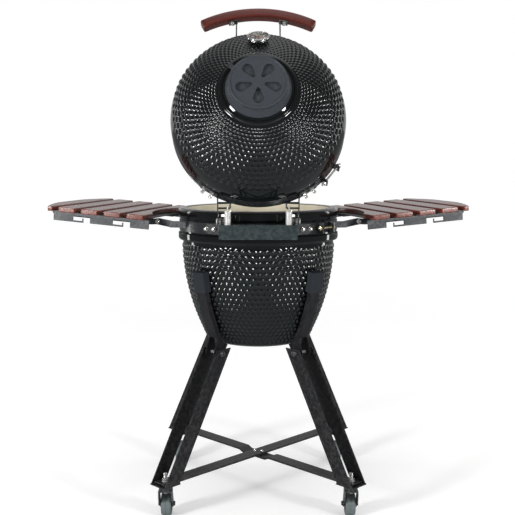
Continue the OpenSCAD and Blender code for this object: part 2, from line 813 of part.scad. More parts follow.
module stand_bolts() {
  color([0.76, 0.76, 0.75]) {
    for (quarter = [0 : 3]) on_diagonal(quarter) {
      bar_y(-leg_half_width - 4, leg_half_width + 4, leg_top_reach, leg_top_height, leg_bolt_radius);
      for (side = [-1, 1]) translate([leg_top_reach, side * (leg_half_width - stand_sheet - 3.4), leg_top_height])
        rotate([90, 0, 0]) cylinder(h = 5.6, r = 9, center = true, $fn = 6);
      for (side = [-1, 1]) translate([leg_top_reach, side * (leg_half_width + 2.4), leg_top_height])
        rotate([90, 0, 0]) cylinder(h = 4.2, r = 9.6, center = true);
    }
    for (x = [-12, 12]) translate([x, 0, foot_plate_top - brace_joggle - 3]) {
      cylinder(h = brace_height + brace_joggle + 3, r = 2.5);
      translate([0, 0, brace_height + brace_joggle + 3.2]) cylinder(h = 3, r = 5.5);
    }
  }
}

// The top line of a brace, from its outer end to the middle, dropped by joggle in the middle
function brace_path(joggle) = [[brace_end, 0], [70, 0], [52, -joggle], [-52, -joggle], [-70, 0], [-brace_end, 0]];

module brace(joggle) {
  top = foot_plate_top + brace_height;
  path = brace_path(joggle);
  difference() {
    union() {
      sheet_r(-brace_width / 2, brace_width / 2) polygon(concat(
        [for (p = path) [p[0], top + p[1]]], reversed([for (p = path) [p[0], top - stand_sheet + p[1]]])));
      for (side = [-1, 1]) sheet_r(side > 0 ? brace_width / 2 - 2.5 : -brace_width / 2,
        side > 0 ? brace_width / 2 : -brace_width / 2 + 2.5) polygon(concat(
          [for (p = path) [p[0], top - 1 + p[1]]], reversed([for (p = path) [p[0], top - brace_height + p[1]]])));
    }
    for (side = [-1, 1]) translate([side * leg_foot_reach, 0, 0]) cylinder(h = 300, r = stem_radius + 0.3);
  }
}

module brace_upper() {
  color([0.16, 0.16, 0.17]) on_diagonal(0) brace(0);
}

module brace_lower() {
  color([0.16, 0.16, 0.17]) on_diagonal(1) brace(brace_joggle);
}

module foot_plates() {
  color([0.10, 0.10, 0.11]) for (quarter = [0 : 3]) on_diagonal(quarter) difference() {
    translate([leg_foot_reach - foot_size / 2, -foot_size / 2, foot_plate_low])
      cube([foot_size, foot_size, foot_plate_top - foot_plate_low]);
    translate([leg_foot_reach, 0, 0]) cylinder(h = 300, r = stem_radius + 0.3);
  }
}

// ---------- casters ----------

module at_caster(quarter) {
  spot = leg_foot_reach * [cos(45 + 90 * quarter), sin(45 + 90 * quarter)];
  translate([spot[0], spot[1], 0]) mirror([0, quarter < 2 ? 0 : 1, 0]) children();
}

module caster_stems() {
  nut_low = foot_plate_top + brace_height;
  color([0.72, 0.72, 0.72]) for (quarter = [0 : 3]) at_caster(quarter) {
    translate([0, 0, crown_low - 6]) cylinder(h = nut_low + 28 - crown_low + 6, r = stem_radius);
    translate([0, 0, crown_low - 6]) cylinder(h = 6 - gap, r = 10);
    translate([0, 0, nut_low + 0.1]) cylinder(h = 9, r = 10.5, $fn = 6);
  }
}

module caster_fork(quarter) {
  color([0.08, 0.08, 0.09]) at_caster(quarter) {
    difference() {
      union() {
        translate([-fork_half_width, -20, crown_low]) cube([2 * fork_half_width, 40, 4]);
        translate([0, 0, crown_low + 3.5]) cylinder(h = 10, r = 19);
        translate([0, 0, crown_low + 13]) cylinder(h = foot_plate_low - gap - crown_low - 13, r = 24);
      }
      translate([0, 0, crown_low - 1]) cylinder(h = 40, r = stem_radius + running);
    }
    for (x = [-fork_half_width, fork_half_width - fork_sheet]) sheet_x(x, x + fork_sheet) {
      translate([-20, 76]) square([40, crown_low + 4 - 76]);
      link([0, 76], 19, [-caster_trail, wheel_radius], 11);
    }
    bar_x(-fork_half_width - 2, fork_half_width + 2, -caster_trail, wheel_radius, axle_radius);
    for (x = [-fork_half_width - 5, fork_half_width - 0.2])
      bar_x(x, x + 5.2, -caster_trail, wheel_radius, 7.5);
  }
}

module caster_wheel(quarter) {
  half = wheel_width / 2;
  hub = fork_half_width - fork_sheet - gap;
  bore = axle_radius + running;
  color([0.40, 0.45, 0.45]) at_caster(quarter) translate([0, -caster_trail, wheel_radius])
    rotate([0, 90, 0]) rotate_extrude() polygon([[bore, -hub], [10, -hub], [10, -11], [26, -11],
      [28, -half], [wheel_radius - 4, -half], [wheel_radius, -half + 5], [wheel_radius, half - 5],
      [wheel_radius - 4, half], [28, half], [26, 11], [10, 11], [10, hub], [bore, hub]]);
}

// ---------- side tables ----------

// Local +X runs out along the table's middle line, and +Y across it towards the front
module at_table(side) {
  mirror([side > 0 ? 0 : 1, 0, 0]) rotate([0, 0, table_swing]) children();
}

// Local origin on the hinge pin, with the raised table's tilt
module on_table(side) {
  at_table(side) translate([table_hinge_reach, 0, table_hinge_height])
    rotate([0, -table_tilt, 0]) children();
}

module table_brackets() {
  color([0.16, 0.19, 0.23]) for (side = [-1, 1]) at_table(side) difference() {
    for (place = [-rail_offset, rail_offset]) translate([0, place, 0]) {
      translate([150, -9, table_hinge_height - 19]) cube([100, 18, 20]);
      difference() {
        for (y = [-7.4, 3]) sheet_r(y, y + 4.4)
          link([244, table_hinge_height - 9], 10, [table_hinge_reach, table_hinge_height], 10);
        bar_y(-20, 20, table_hinge_reach, table_hinge_height, table_pin_radius + 0.02);
      }
    }
    translate([0, 0, rim_height - 100]) cylinder(h = 120, r = pot_band_outer + 0.2, $fn = 96);
    translate([0, 0, groove_high - 1]) cylinder(h = 120, r = collar_radius + gap, $fn = 96);
  }
}

module table_pins() {
  color([0.72, 0.72, 0.72]) for (side = [-1, 1]) at_table(side) for (place = [-rail_offset, rail_offset]) {
    bar_y(place - 9, place + 9, table_hinge_reach, table_hinge_height, table_pin_radius);
    for (y = [place - 10.5, place + 7.6]) bar_y(y, y + 2.9, table_hinge_reach, table_hinge_height, 7);
  }
}

module apron_outline() {
  difference() {
    translate([apron_start, apron_low]) square([apron_end - apron_start, slat_bottom - apron_low]);
    for (start = hook_starts) {
      translate([start, apron_low - 1]) square([23, 20.5]);
      translate([start + 22, apron_low + 14]) square([6, 5.5]);
      translate([start + 27, apron_low + 5.5]) square([hook_length - 27, 14]);
    }
  }
}

module rail_outline() {
  circle(10);
  polygon([[0, -10], [24, rail_low], [rail_end - 8, rail_low], [rail_end, rail_low + 8],
    [rail_end, slat_bottom], [16, slat_bottom], [0, 10]]);
}

module table_frame(side) {
  color([0.20, 0.24, 0.28]) on_table(side) {
    for (place = [-rail_offset, rail_offset]) difference() {
      sheet_r(place - rail_thickness / 2 - 0.4, place + rail_thickness / 2 - 0.4 + 0.8) rail_outline();
      bar_y(place - 10, place + 10, 0, 0, table_pin_radius + running);
    }
    for (place = [-apron_offset, apron_offset]) sheet_r(place - 1.5, place + 1.5) apron_outline();
    for (start = [30, 270]) translate([start, -apron_offset + 1.6, slat_bottom - 3])
      cube([34, 2 * apron_offset - 3.2, 3]);
  }
}

module slat_outline(index) {
  near = slat_start + index * slat_pitch;
  difference() {
    intersection() {
      translate([near, -slat_length / 2]) square([slat_width, slat_length]);
      translate([-table_hinge_reach, 0]) circle(slat_outer_curve, $fn = 180);
    }
    if (index == 0) translate([-table_hinge_reach, 0]) circle(slat_inner_curve, $fn = 180);
  }
}

module table_slats(side) {
  color([0.52, 0.27, 0.21]) on_table(side) for (index = [0 : slat_count - 1]) difference() {
    translate([0, 0, slat_bottom]) linear_extrude(slat_thickness) slat_outline(index);
    for (place = [-rail_offset, rail_offset]) translate([screw_spot(index), place, slat_top - 2.2])
      cylinder(h = 4, r = 4.8);
  }
}

function screw_spot(index) = slat_start + slat_pitch * index
  + slat_width * (index == slat_count - 1 ? 0.36 : 0.6);

module table_screws(side) {
  color([0.70, 0.70, 0.70]) on_table(side) for (index = [0 : slat_count - 1])
    for (place = [-rail_offset, rail_offset]) {
      x = screw_spot(index);
      translate([x, place, slat_bottom + 1]) cylinder(h = slat_thickness - 2, r = 2);
      translate([x, place, slat_top - 2.2]) cylinder(h = 2, r = 4.5);
    }
}

pot();
pot_gasket();
firebox();
fire_ring();
charcoal_grate();
cooking_grate();
pot_band();
pot_band_bolts();
hinge_base();
hinge_cover();
hinge_pins();
hinge_springs();
draft_frame();
draft_screen();
draft_door();
leg(0);  // leg_front_right
leg(1);  // leg_front_left
leg(2);  // leg_rear_left
leg(3);  // leg_rear_right
cradle_arm(0);  // cradle_arm_front_right
cradle_arm(1);  // cradle_arm_front_left
cradle_arm(2);  // cradle_arm_rear_left
cradle_arm(3);  // cradle_arm_rear_right
cradle_pads();
stand_bolts();
brace_upper();
brace_lower();
foot_plates();
caster_stems();
table_brackets();
table_pins();
lid_dome();
lid_gasket();
lid_band();
lid_band_bolts();
hinge_arms();
handle_bar();
handle_brackets();
handle_bolts();
thermometer_case();
thermometer_dial();
thermometer_needle();
thermometer_lens();
vent_collar();
vent_cap();
vent_disc();
table_frame(-1);  // table_frame_left
table_slats(-1);  // table_slats_left
table_screws(-1);  // table_screws_left
table_frame(1);  // table_frame_right
table_slats(1);  // table_slats_right
table_screws(1);  // table_screws_right
caster_fork(0);  // caster_fork_front_right
caster_fork(1);  // caster_fork_front_left
caster_fork(2);  // caster_fork_rear_left
caster_fork(3);  // caster_fork_rear_right
caster_wheel(0);  // caster_wheel_front_right
caster_wheel(1);  // caster_wheel_front_left
caster_wheel(2);  // caster_wheel_rear_left
caster_wheel(3);  // caster_wheel_rear_right
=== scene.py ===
"""Kamado ceramic grill: the visible pieces, finishes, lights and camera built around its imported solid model.

Sizes are in millimetres in the pack's own frame: +Z up, the origin on the floor under the pot's axis,
the lid's hinge at -Y, and the lid standing open at rest.
"""

from __future__ import annotations

import json
import logging
import math
from dataclasses import dataclass, field
from enum import Enum
from typing import Callable, Iterable, Sequence

import bmesh
import bpy
import numpy as np
from mathutils import Matrix, Vector

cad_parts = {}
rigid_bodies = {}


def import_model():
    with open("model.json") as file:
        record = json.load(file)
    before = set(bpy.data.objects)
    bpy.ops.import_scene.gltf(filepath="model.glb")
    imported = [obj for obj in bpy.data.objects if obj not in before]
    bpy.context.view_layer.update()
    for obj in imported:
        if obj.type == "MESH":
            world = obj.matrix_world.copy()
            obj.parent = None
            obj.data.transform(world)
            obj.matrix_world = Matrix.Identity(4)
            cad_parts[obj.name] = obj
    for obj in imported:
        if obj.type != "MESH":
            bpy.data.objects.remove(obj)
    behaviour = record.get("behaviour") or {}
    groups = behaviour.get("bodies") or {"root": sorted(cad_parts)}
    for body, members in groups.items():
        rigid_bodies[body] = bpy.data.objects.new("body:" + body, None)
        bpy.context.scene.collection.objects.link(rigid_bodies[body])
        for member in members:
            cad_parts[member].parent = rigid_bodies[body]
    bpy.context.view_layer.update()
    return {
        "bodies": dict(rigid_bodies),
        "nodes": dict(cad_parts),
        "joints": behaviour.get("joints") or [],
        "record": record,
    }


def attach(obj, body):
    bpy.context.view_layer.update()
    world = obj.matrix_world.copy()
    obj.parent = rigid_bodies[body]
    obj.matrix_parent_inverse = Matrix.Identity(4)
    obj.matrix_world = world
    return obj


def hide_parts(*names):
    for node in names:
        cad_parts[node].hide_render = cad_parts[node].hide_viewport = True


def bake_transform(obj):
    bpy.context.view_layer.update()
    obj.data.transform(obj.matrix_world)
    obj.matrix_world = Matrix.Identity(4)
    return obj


LOG = logging.getLogger("kamado")
MM = 0.001
QUARTERS = ("front_right", "front_left", "rear_left", "rear_right")
SIDES = {"right": 1, "left": -1}
Point2 = tuple[float, float]
Colour = tuple[float, float, float]


# ---------------------------------------------------------------- node graphs


class Graph:
    """Adds and links nodes in one node tree."""

    def __init__(self, tree: bpy.types.NodeTree) -> None:
        """Keeps the tree that the nodes go into.

        Args:
            tree: The shader or geometry node tree.
        """
        self.tree = tree

    def add(self, kind: str, inputs: dict | None = None, **settings: object) -> bpy.types.Node:
        """Adds one node.

        Args:
            kind: The node's type name.
            inputs: Values or sockets for the node's inputs, by name or index.
            **settings: Properties of the node.

        Returns:
            The new node.
        """
        node = self.tree.nodes.new(kind)
        for key, value in settings.items():
            setattr(node, key, value)
        for key, value in (inputs or {}).items():
            self.feed(node.inputs[key], value)
        return node

    def feed(self, socket: bpy.types.NodeSocket, value: object) -> None:
        """Links a socket to another one, or sets its own value.

        Args:
            socket: The input to feed.
            value: An output socket, or a plain value.
        """
        if isinstance(value, bpy.types.NodeSocket):
            self.tree.links.new(value, socket)
        else:
            socket.default_value = value

    def math(self, operation: str, *values: object) -> bpy.types.NodeSocket:
        """Adds a Math node and returns its output.

        Args:
            operation: The Math node's operation.
            *values: One to three values or sockets.

        Returns:
            The node's output socket.
        """
        return self.add("ShaderNodeMath", dict(enumerate(values)), operation=operation).outputs[0]

    def span(self, value: object, low: float, high: float, to_low: float,
             to_high: float) -> bpy.types.NodeSocket:
        """Maps a value from one range to another and clamps it.

        Args:
            value: The socket to map.
            low: The input range's start.
            high: The input range's end.
            to_low: The output at the start.
            to_high: The output at the end.

        Returns:
            The mapped value's socket.
        """
        names = {"Value": value, "From Min": low, "From Max": high, "To Min": to_low, "To Max": to_high}
        return self.add("ShaderNodeMapRange", names, clamp=True).outputs[0]

    def mix(self, factor: object, first: object, second: object) -> bpy.types.NodeSocket:
        """Mixes two colours.

        Args:
            factor: The share of the second colour.
            first: The first colour, three or four numbers or a socket.
            second: The second colour.

        Returns:
            The mixed colour's socket.
        """
        node = self.add("ShaderNodeMix", {0: factor}, data_type="RGBA")
        for index, value in ((6, first), (7, second)):
            self.feed(node.inputs[index], opaque(value) if isinstance(value, tuple) else value)
        return node.outputs[2]

    def noise(self, vector: object, scale: object, detail: float = 3.0,
              stretch: float = 0.5) -> bpy.types.NodeSocket:
        """Adds a Noise Texture and returns its value.

        Args:
            vector: The coordinates' socket.
            scale: Scale of the noise.
            detail: Octaves of detail.
            stretch: Roughness of the noise.

        Returns:
            The noise value's socket.
        """
        names = {"Vector": vector, "Scale": scale, "Detail": detail, "Roughness": stretch}
        return self.add("ShaderNodeTexNoise", names).outputs[0]

    def named(self, name: str, kind: str = "FLOAT") -> bpy.types.NodeSocket:
        """Reads a named value of the mesh, in a geometry tree."""
        return self.add("GeometryNodeInputNamedAttribute", {"Name": name}, data_type=kind).outputs[0]

    def planted(self, points: object, instance: object, **more: object) -> bpy.types.NodeSocket:
        """Puts an instance on every point, in a geometry tree.

        Args:
            points: The points' socket.
            instance: The socket of what goes on them.
            **more: The node's other inputs.

        Returns:
            The instances' socket.
        """
        names = {"Points": points, "Instance": instance, **more}
        return self.add("GeometryNodeInstanceOnPoints", names).outputs[0]

    def dressed(self, shape: object, finish: object) -> bpy.types.NodeSocket:
        """Makes instances real and gives them a material, in a geometry tree.

        Args:
            shape: The geometry's socket.
            finish: The material's socket.

        Returns:
            The dressed geometry's socket.
        """
        whole = self.add("GeometryNodeRealizeInstances", {0: shape})
        names = {"Geometry": whole.outputs[0], "Material": finish}
        return self.add("GeometryNodeSetMaterial", names).outputs[0]


def opaque(colour: Sequence[float]) -> tuple[float, ...]:
    """Returns a colour with full alpha."""
    return (*colour[:3], 1.0)


def node_group(kind: str, name: str, inputs: Sequence[tuple], outputs: Sequence[tuple],
               fill: Callable[[Graph, bpy.types.Node, bpy.types.Node], None]) -> bpy.types.NodeTree:
    """Builds a node group once and returns it.

    Args:
        kind: "ShaderNodeTree" or "GeometryNodeTree".
        name: The group's name.
        inputs: Tuples of name, socket type and default value (None for no default).
        outputs: Tuples of name and socket type.
        fill: Adds the group's own nodes.

    Returns:
        The group's tree.
    """
    if name in bpy.data.node_groups:
        return bpy.data.node_groups[name]
    tree = bpy.data.node_groups.new(name, kind)
    for label, socket_type, default in inputs:
        socket = tree.interface.new_socket(name=label, in_out="INPUT", socket_type=socket_type)
        if default is not None:
            socket.default_value = default
    for label, socket_type in outputs:
        tree.interface.new_socket(name=label, in_out="OUTPUT", socket_type=socket_type)
    graph = Graph(tree)
    fill(graph, graph.add("NodeGroupInput"), graph.add("NodeGroupOutput"))
    return tree


# ---------------------------------------------------------------- shared surface effects

FLOAT = "NodeSocketFloat"
MATERIAL = "NodeSocketMaterial"


def tone_group() -> bpy.types.NodeTree:
    """Slow and fine variation over a surface, both from 0 to 1."""

    def fill(graph: Graph, source: bpy.types.Node, sink: bpy.types.Node) -> None:
        """Adds two noises at different scales."""
        place = graph.add("ShaderNodeTexCoord").outputs["Object"]
        slow = graph.noise(place, source.outputs["Scale"], 3.0)
        fine_scale = graph.math("MULTIPLY", source.outputs["Scale"], source.outputs["Fine Ratio"])
        fine = graph.noise(place, fine_scale, 4.0, 0.6)
        graph.feed(sink.inputs["Slow"], graph.span(slow, 0.3, 0.7, 0.0, 1.0))
        graph.feed(sink.inputs["Fine"], graph.span(fine, 0.25, 0.75, 0.0, 1.0))

    inputs = [("Scale", FLOAT, 6.0), ("Fine Ratio", FLOAT, 20.0)]
    return node_group("ShaderNodeTree", "tone_variation", inputs, [("Slow", FLOAT), ("Fine", FLOAT)], fill)


def wear_group() -> bpy.types.NodeTree:
    """Where a coating is worn down: raised edges, broken up by noise."""

    def fill(graph: Graph, source: bpy.types.Node, sink: bpy.types.Node) -> None:
        """Multiplies the edges by a noise and by the amount."""
        place = graph.add("ShaderNodeTexCoord").outputs["Object"]
        edge = graph.span(graph.add("ShaderNodeNewGeometry").outputs["Pointiness"], 0.53, 0.62, 0.0, 1.0)
        grain = graph.span(graph.noise(place, source.outputs["Grain"], 5.0, 0.65), 0.42, 0.62, 0.0, 1.0)
        rubbed = graph.math("MULTIPLY", edge, grain)
        graph.feed(sink.inputs["Mask"], graph.math("MULTIPLY", rubbed, source.outputs["Amount"]))

    return node_group("ShaderNodeTree", "edge_wear", [("Amount", FLOAT, 0.5), ("Grain", FLOAT, 90.0)],
                      [("Mask", FLOAT)], fill)


def dust_group() -> bpy.types.NodeTree:
    """Dust that settles on what faces upwards."""

    def fill(graph: Graph, source: bpy.types.Node, sink: bpy.types.Node) -> None:
        """Multiplies the upward slope by a noise and by the amount."""
        place = graph.add("ShaderNodeTexCoord").outputs["Object"]
        normal = graph.add("ShaderNodeNewGeometry").outputs["Normal"]
        upward = graph.span(graph.add("ShaderNodeSeparateXYZ", {0: normal}).outputs[2], 0.35, 1.0, 0.0, 1.0)
        patches = graph.span(graph.noise(place, source.outputs["Scale"], 6.0, 0.7), 0.35, 0.75, 0.2, 1.0)
        film = graph.math("MULTIPLY", upward, patches)
        graph.feed(sink.inputs["Mask"], graph.math("MULTIPLY", film, source.outputs["Amount"]))

    return node_group("ShaderNodeTree", "dust_film", [("Amount", FLOAT, 0.1), ("Scale", FLOAT, 14.0)],
                      [("Mask", FLOAT)], fill)


def grain_group() -> bpy.types.NodeTree:
    """Straight wood grain along U, with pores, growth bands and a tone for each board."""

    def fill(graph: Graph, source: bpy.types.Node, sink: bpy.types.Node) -> None:
        """Builds bands, streaks and pores from stretched noises."""
        uv = graph.add("ShaderNodeUVMap", uv_map="grain").outputs[0]
        parts = graph.add("ShaderNodeSeparateXYZ", {0: uv})
        board = graph.add("ShaderNodeAttribute", attribute_name="board").outputs["Fac"]

        def stretched(along: float, across: float, detail: float) -> bpy.types.NodeSocket:
            """Returns noise drawn out along the grain."""
            place = graph.add("ShaderNodeCombineXYZ", {
                0: graph.math("MULTIPLY", parts.outputs[0], along),
                1: graph.math("MULTIPLY", parts.outputs[1], across),
                2: graph.math("MULTIPLY", board, 7.3)})
            return graph.noise(place.outputs[0], 1.0, detail, 0.6)

        bend = graph.math("MULTIPLY", stretched(3.0, 9.0, 2.0), 2.4)
        phase = graph.math("ADD", graph.math("MULTIPLY", parts.outputs[1], source.outputs["Bands"]), bend)
        rings = graph.math("SINE", graph.math("MULTIPLY", graph.math("ADD", phase, board), math.tau))
        streaks = stretched(5.0, 260.0, 4.0)
        pores = graph.span(stretched(30.0, 900.0, 3.0), 0.58, 0.68, 0.0, 1.0)
        tone = graph.math("ADD", graph.math("MULTIPLY", graph.span(rings, -1.0, 1.0, 0.0, 1.0), 0.35),
                          graph.math("MULTIPLY", graph.span(streaks, 0.3, 0.7, 0.0, 1.0), 0.65))
        shade = graph.add("ShaderNodeTexWhiteNoise", {"W": board}, noise_dimensions="1D").outputs["Value"]
        graph.feed(sink.inputs["Tone"], tone)
        graph.feed(sink.inputs["Pores"], pores)
        graph.feed(sink.inputs["Board Shade"], shade)
        height = graph.math("SUBTRACT", graph.math("MULTIPLY", tone, 0.3), graph.math("MULTIPLY", pores, 0.7))
        graph.feed(sink.inputs["Height"], height)

    return node_group("ShaderNodeTree", "wood_grain", [("Bands", FLOAT, 42.0)],
                      [("Tone", FLOAT), ("Pores", FLOAT), ("Board Shade", FLOAT), ("Height", FLOAT)], fill)


# ---------------------------------------------------------------- finishes


class Coarseness(Enum):
    """How rough a surface feels: the scale of its bump, per metre, and its depth in millimetres."""

    GLASSY = (38.0, 0.03)
    SATIN = (700.0, 0.035)
    PEBBLED = (420.0, 0.035)
    CAST = (260.0, 0.10)
    FIBRE = (900.0, 0.35)
    FIRED = (330.0, 0.20)


@dataclass(frozen=True)
class Finish:
    """A finish with slow colour changes and a fine bump.

    Args:
        name: The material's name.
        dark: Colour where the surface is darkest.
        light: Colour where it is lightest.
        rough: Lowest and highest roughness.
        metallic: 1 for bare metal.
        coat: Weight of a clear coat.
        coat_rough: Roughness of the coat.
        bump: Kind of fine bump.
        wear: Amount of edge wear, and its colour.
        dust: Amount of dust.
        tone_scale: Scale of the colour changes, per metre.
        specular: Strength of the mirror-like part under the coat.
    """

    name: str
    dark: Colour
    light: Colour
    rough: Point2 = (0.35, 0.5)
    metallic: float = 0.0
    coat: float = 0.0
    coat_rough: float = 0.08
    bump: Coarseness = Coarseness.SATIN
    wear: float = 0.0
    worn: Colour = (0.32, 0.32, 0.31)
    dust: float = 0.0
    tone_scale: float = 6.0
    specular: float = 0.5

    def material(self) -> bpy.types.Material:
        """Builds the material on first use and returns it."""
        label = "look_" + self.name
        if label in bpy.data.materials:
            return bpy.data.materials[label]
        made = bpy.data.materials.new(label)
        made.use_nodes = True
        graph = Graph(made.node_tree)
        self.fill(graph, made.node_tree.nodes["Principled BSDF"])
        return made

    def tones(self, graph: Graph) -> bpy.types.Node:
        """Places the tone variation group with this finish's scale."""
        tones = graph.add("ShaderNodeGroup", node_tree=tone_group())
        tones.inputs["Scale"].default_value = self.tone_scale
        return tones

    def base_colour(self, graph: Graph, tones: bpy.types.Node) -> bpy.types.NodeSocket:
        """Returns the colour before wear and dust.

        Args:
            graph: The material's graph.
            tones: The placed tone variation group.
        """
        share = graph.math("ADD", graph.math("MULTIPLY", tones.outputs["Slow"], 0.7),
                           graph.math("MULTIPLY", tones.outputs["Fine"], 0.3))
        return graph.mix(share, self.dark, self.light)

    def height(self, graph: Graph) -> bpy.types.NodeSocket:
        """Returns the fine bump's height."""
        place = graph.add("ShaderNodeTexCoord").outputs["Object"]
        return graph.noise(place, self.bump.value[0], 4.0, 0.55)

    def extras(self, graph: Graph, shader: bpy.types.Node) -> None:
        """Sets what only some finishes have."""

    def fill(self, graph: Graph, shader: bpy.types.Node) -> None:
        """Builds the whole material.

        Args:
            graph: The material's graph.
            shader: Its Principled BSDF.
        """
        tones = self.tones(graph)
        colour = self.base_colour(graph, tones)
        rough = graph.span(tones.outputs["Fine"], 0.0, 1.0, *self.rough)
        if self.wear:
            wear = graph.add("ShaderNodeGroup", node_tree=wear_group())
            wear.inputs["Amount"].default_value = self.wear
            colour = graph.mix(wear.outputs["Mask"], colour, self.worn)
        if self.dust:
            dust = graph.add("ShaderNodeGroup", node_tree=dust_group())
            dust.inputs["Amount"].default_value = self.dust
            colour = graph.mix(dust.outputs["Mask"], colour, (0.42, 0.40, 0.37))
            rough = graph.math("MAXIMUM", rough, graph.span(dust.outputs["Mask"], 0.0, 0.5, 0.0, 0.75))
        graph.feed(shader.inputs["Base Color"], colour)
        graph.feed(shader.inputs["Roughness"], rough)
        shader.inputs["Metallic"].default_value = self.metallic
        shader.inputs["Specular IOR Level"].default_value = self.specular
        shader.inputs["Coat Weight"].default_value = self.coat
        shader.inputs["Coat Roughness"].default_value = self.coat_rough
        bump = graph.add("ShaderNodeBump", {"Height": self.height(graph), "Strength": 0.6,
                                            "Distance": self.bump.value[1] * MM})
        graph.feed(shader.inputs["Normal"], bump.outputs["Normal"])
        self.extras(graph, shader)


@dataclass(frozen=True)
class Glaze(Finish):
    """Black kiln glaze with a painted highlight: its colour is lighter at the top of each raised pearl."""

    # Colour of the painted highlight at the top of each pearl.
    pearl_highlight: Colour = (0.0095, 0.0125, 0.0128)

    def base_colour(self, graph: Graph, tones: bpy.types.Node) -> bpy.types.NodeSocket:
        """Returns the glaze's colour, with the painted highlight lighter at the top of each pearl."""
        pearl = graph.add("ShaderNodeAttribute", attribute_name="pearl").outputs["Fac"]
        glaze_tone = graph.mix(tones.outputs["Slow"], self.dark, self.light)
        # Painted highlight: mixes towards the lighter colour by the cube of the pearl's height share.
        return graph.mix(graph.math("MULTIPLY", graph.math("POWER", pearl, 3.0), 0.6), glaze_tone, self.pearl_highlight)


@dataclass(frozen=True)
class Fired(Finish):
    """Bare ceramic with grog specks."""

    def base_colour(self, graph: Graph, tones: bpy.types.Node) -> bpy.types.NodeSocket:
        """Returns the ceramic's colour with scattered darker specks."""
        place = graph.add("ShaderNodeTexCoord").outputs["Object"]
        cells = graph.add("ShaderNodeTexVoronoi", {"Vector": place, "Scale": 240.0}).outputs["Distance"]
        specks = graph.span(cells, 0.10, 0.18, 0.45, 0.0)
        ground = graph.mix(tones.outputs["Slow"], self.dark, self.light)
        return graph.mix(graph.math("MULTIPLY", specks, tones.outputs["Fine"]), ground, (0.30, 0.22, 0.13))


@dataclass(frozen=True)
class Wood(Finish):
    """Stained hardwood under a clear coat, with its grain along U."""

    pore: Colour = (0.035, 0.010, 0.006)

    def fill(self, graph: Graph, shader: bpy.types.Node) -> None:
        """Builds the wood from the shared grain group."""
        grain = graph.add("ShaderNodeGroup", node_tree=grain_group())
        wood = graph.mix(grain.outputs["Tone"], self.dark, self.light)
        shaded = graph.mix(graph.math("MULTIPLY", grain.outputs["Board Shade"], 0.35), wood, self.dark)
        colour = graph.mix(graph.math("MULTIPLY", grain.outputs["Pores"], 0.8), shaded, self.pore)
        wear = graph.add("ShaderNodeGroup", node_tree=wear_group())
        wear.inputs["Amount"].default_value = self.wear
        graph.feed(shader.inputs["Base Color"], graph.mix(wear.outputs["Mask"], colour, self.worn))
        graph.feed(shader.inputs["Roughness"], graph.span(grain.outputs["Pores"], 0.0, 1.0, *self.rough))
        shader.inputs["Specular IOR Level"].default_value = self.specular
        shader.inputs["Coat Weight"].default_value = self.coat
        shader.inputs["Coat Roughness"].default_value = self.coat_rough
        bump = graph.add("ShaderNodeBump", {"Height": grain.outputs["Height"], "Strength": 0.5,
                                            "Distance": 0.12 * MM})
        graph.feed(shader.inputs["Normal"], bump.outputs["Normal"])


@dataclass(frozen=True)
class Plate(Finish):
    """Bare or plated metal with fine scratches."""

    def height(self, graph: Graph) -> bpy.types.NodeSocket:
        """Returns scratches drawn out along X."""
        place = graph.add("ShaderNodeTexCoord").outputs["Object"]
        drawn = graph.add("ShaderNodeMapping", {"Vector": place, "Scale": (0.06, 1.0, 1.0)}).outputs[0]
        return graph.noise(drawn, self.bump.value[0], 3.0, 0.6)


@dataclass(frozen=True)
class Felt(Finish):
    """Pressed felt."""

    def extras(self, graph: Graph, shader: bpy.types.Node) -> None:
        """Adds the soft edge sheen of loose fibres."""
        shader.inputs["Sheen Weight"].default_value = 0.4
        shader.inputs["Sheen Roughness"].default_value = 0.6


@dataclass(frozen=True)
class Clear(Finish):
    """Clear glass with a few fine smears."""

    def extras(self, graph: Graph, shader: bpy.types.Node) -> None:
        """Makes the glass clear."""
        shader.inputs["Transmission Weight"].default_value = 1.0
        shader.inputs["IOR"].default_value = 1.46


# Black glaze; its pearls carry the default painted highlight.
BLACK_GLAZE = Glaze("black_glaze", (0.0018, 0.0025, 0.0027), (0.0042, 0.0054, 0.0057), (0.035, 0.07),
                    bump=Coarseness.GLASSY, dust=0.003)
BARE_CERAMIC = Fired("bare_ceramic", (0.50, 0.45, 0.33), (0.66, 0.61, 0.48), (0.75, 0.92),
                     bump=Coarseness.FIRED, tone_scale=9.0)
BLACK_FELT = Felt("black_felt", (0.010, 0.010, 0.010), (0.035, 0.034, 0.033), (0.85, 0.98),
                  bump=Coarseness.FIBRE, tone_scale=40.0)
CAST_IRON = Finish("seasoned_iron", (0.012, 0.011, 0.010), (0.035, 0.032, 0.029), (0.5, 0.72), metallic=0.5,
                   bump=Coarseness.CAST)
STAINLESS = Plate("stainless_bar", (0.42, 0.41, 0.39), (0.58, 0.57, 0.55), (0.22, 0.38), metallic=1.0)
SHEET_STEEL = Plate("stainless_sheet", (0.34, 0.34, 0.34), (0.48, 0.48, 0.47), (0.28, 0.42), metallic=1.0)
ZINC = Plate("zinc_plate", (0.62, 0.61, 0.58), (0.80, 0.79, 0.77), (0.16, 0.30), metallic=0.8,
             tone_scale=30.0)
BRASSY = Plate("yellow_zinc", (0.52, 0.44, 0.28), (0.70, 0.62, 0.44), (0.18, 0.34), metallic=1.0,
               tone_scale=30.0)
SPRING_WIRE = Plate("spring_wire", (0.74, 0.73, 0.70), (0.86, 0.85, 0.83), (0.26, 0.40), metallic=0.65)
BRIGHT_CHROME = Plate("bright_chrome", (0.74, 0.72, 0.72), (0.84, 0.82, 0.82), (0.03, 0.09), metallic=1.0,
                      bump=Coarseness.GLASSY)
STRAP_BLACK = Finish("strap_black", (0.0070, 0.0075, 0.0090), (0.011, 0.012, 0.014), (0.24, 0.36), coat=0.3,
                     coat_rough=0.16, wear=0.35)
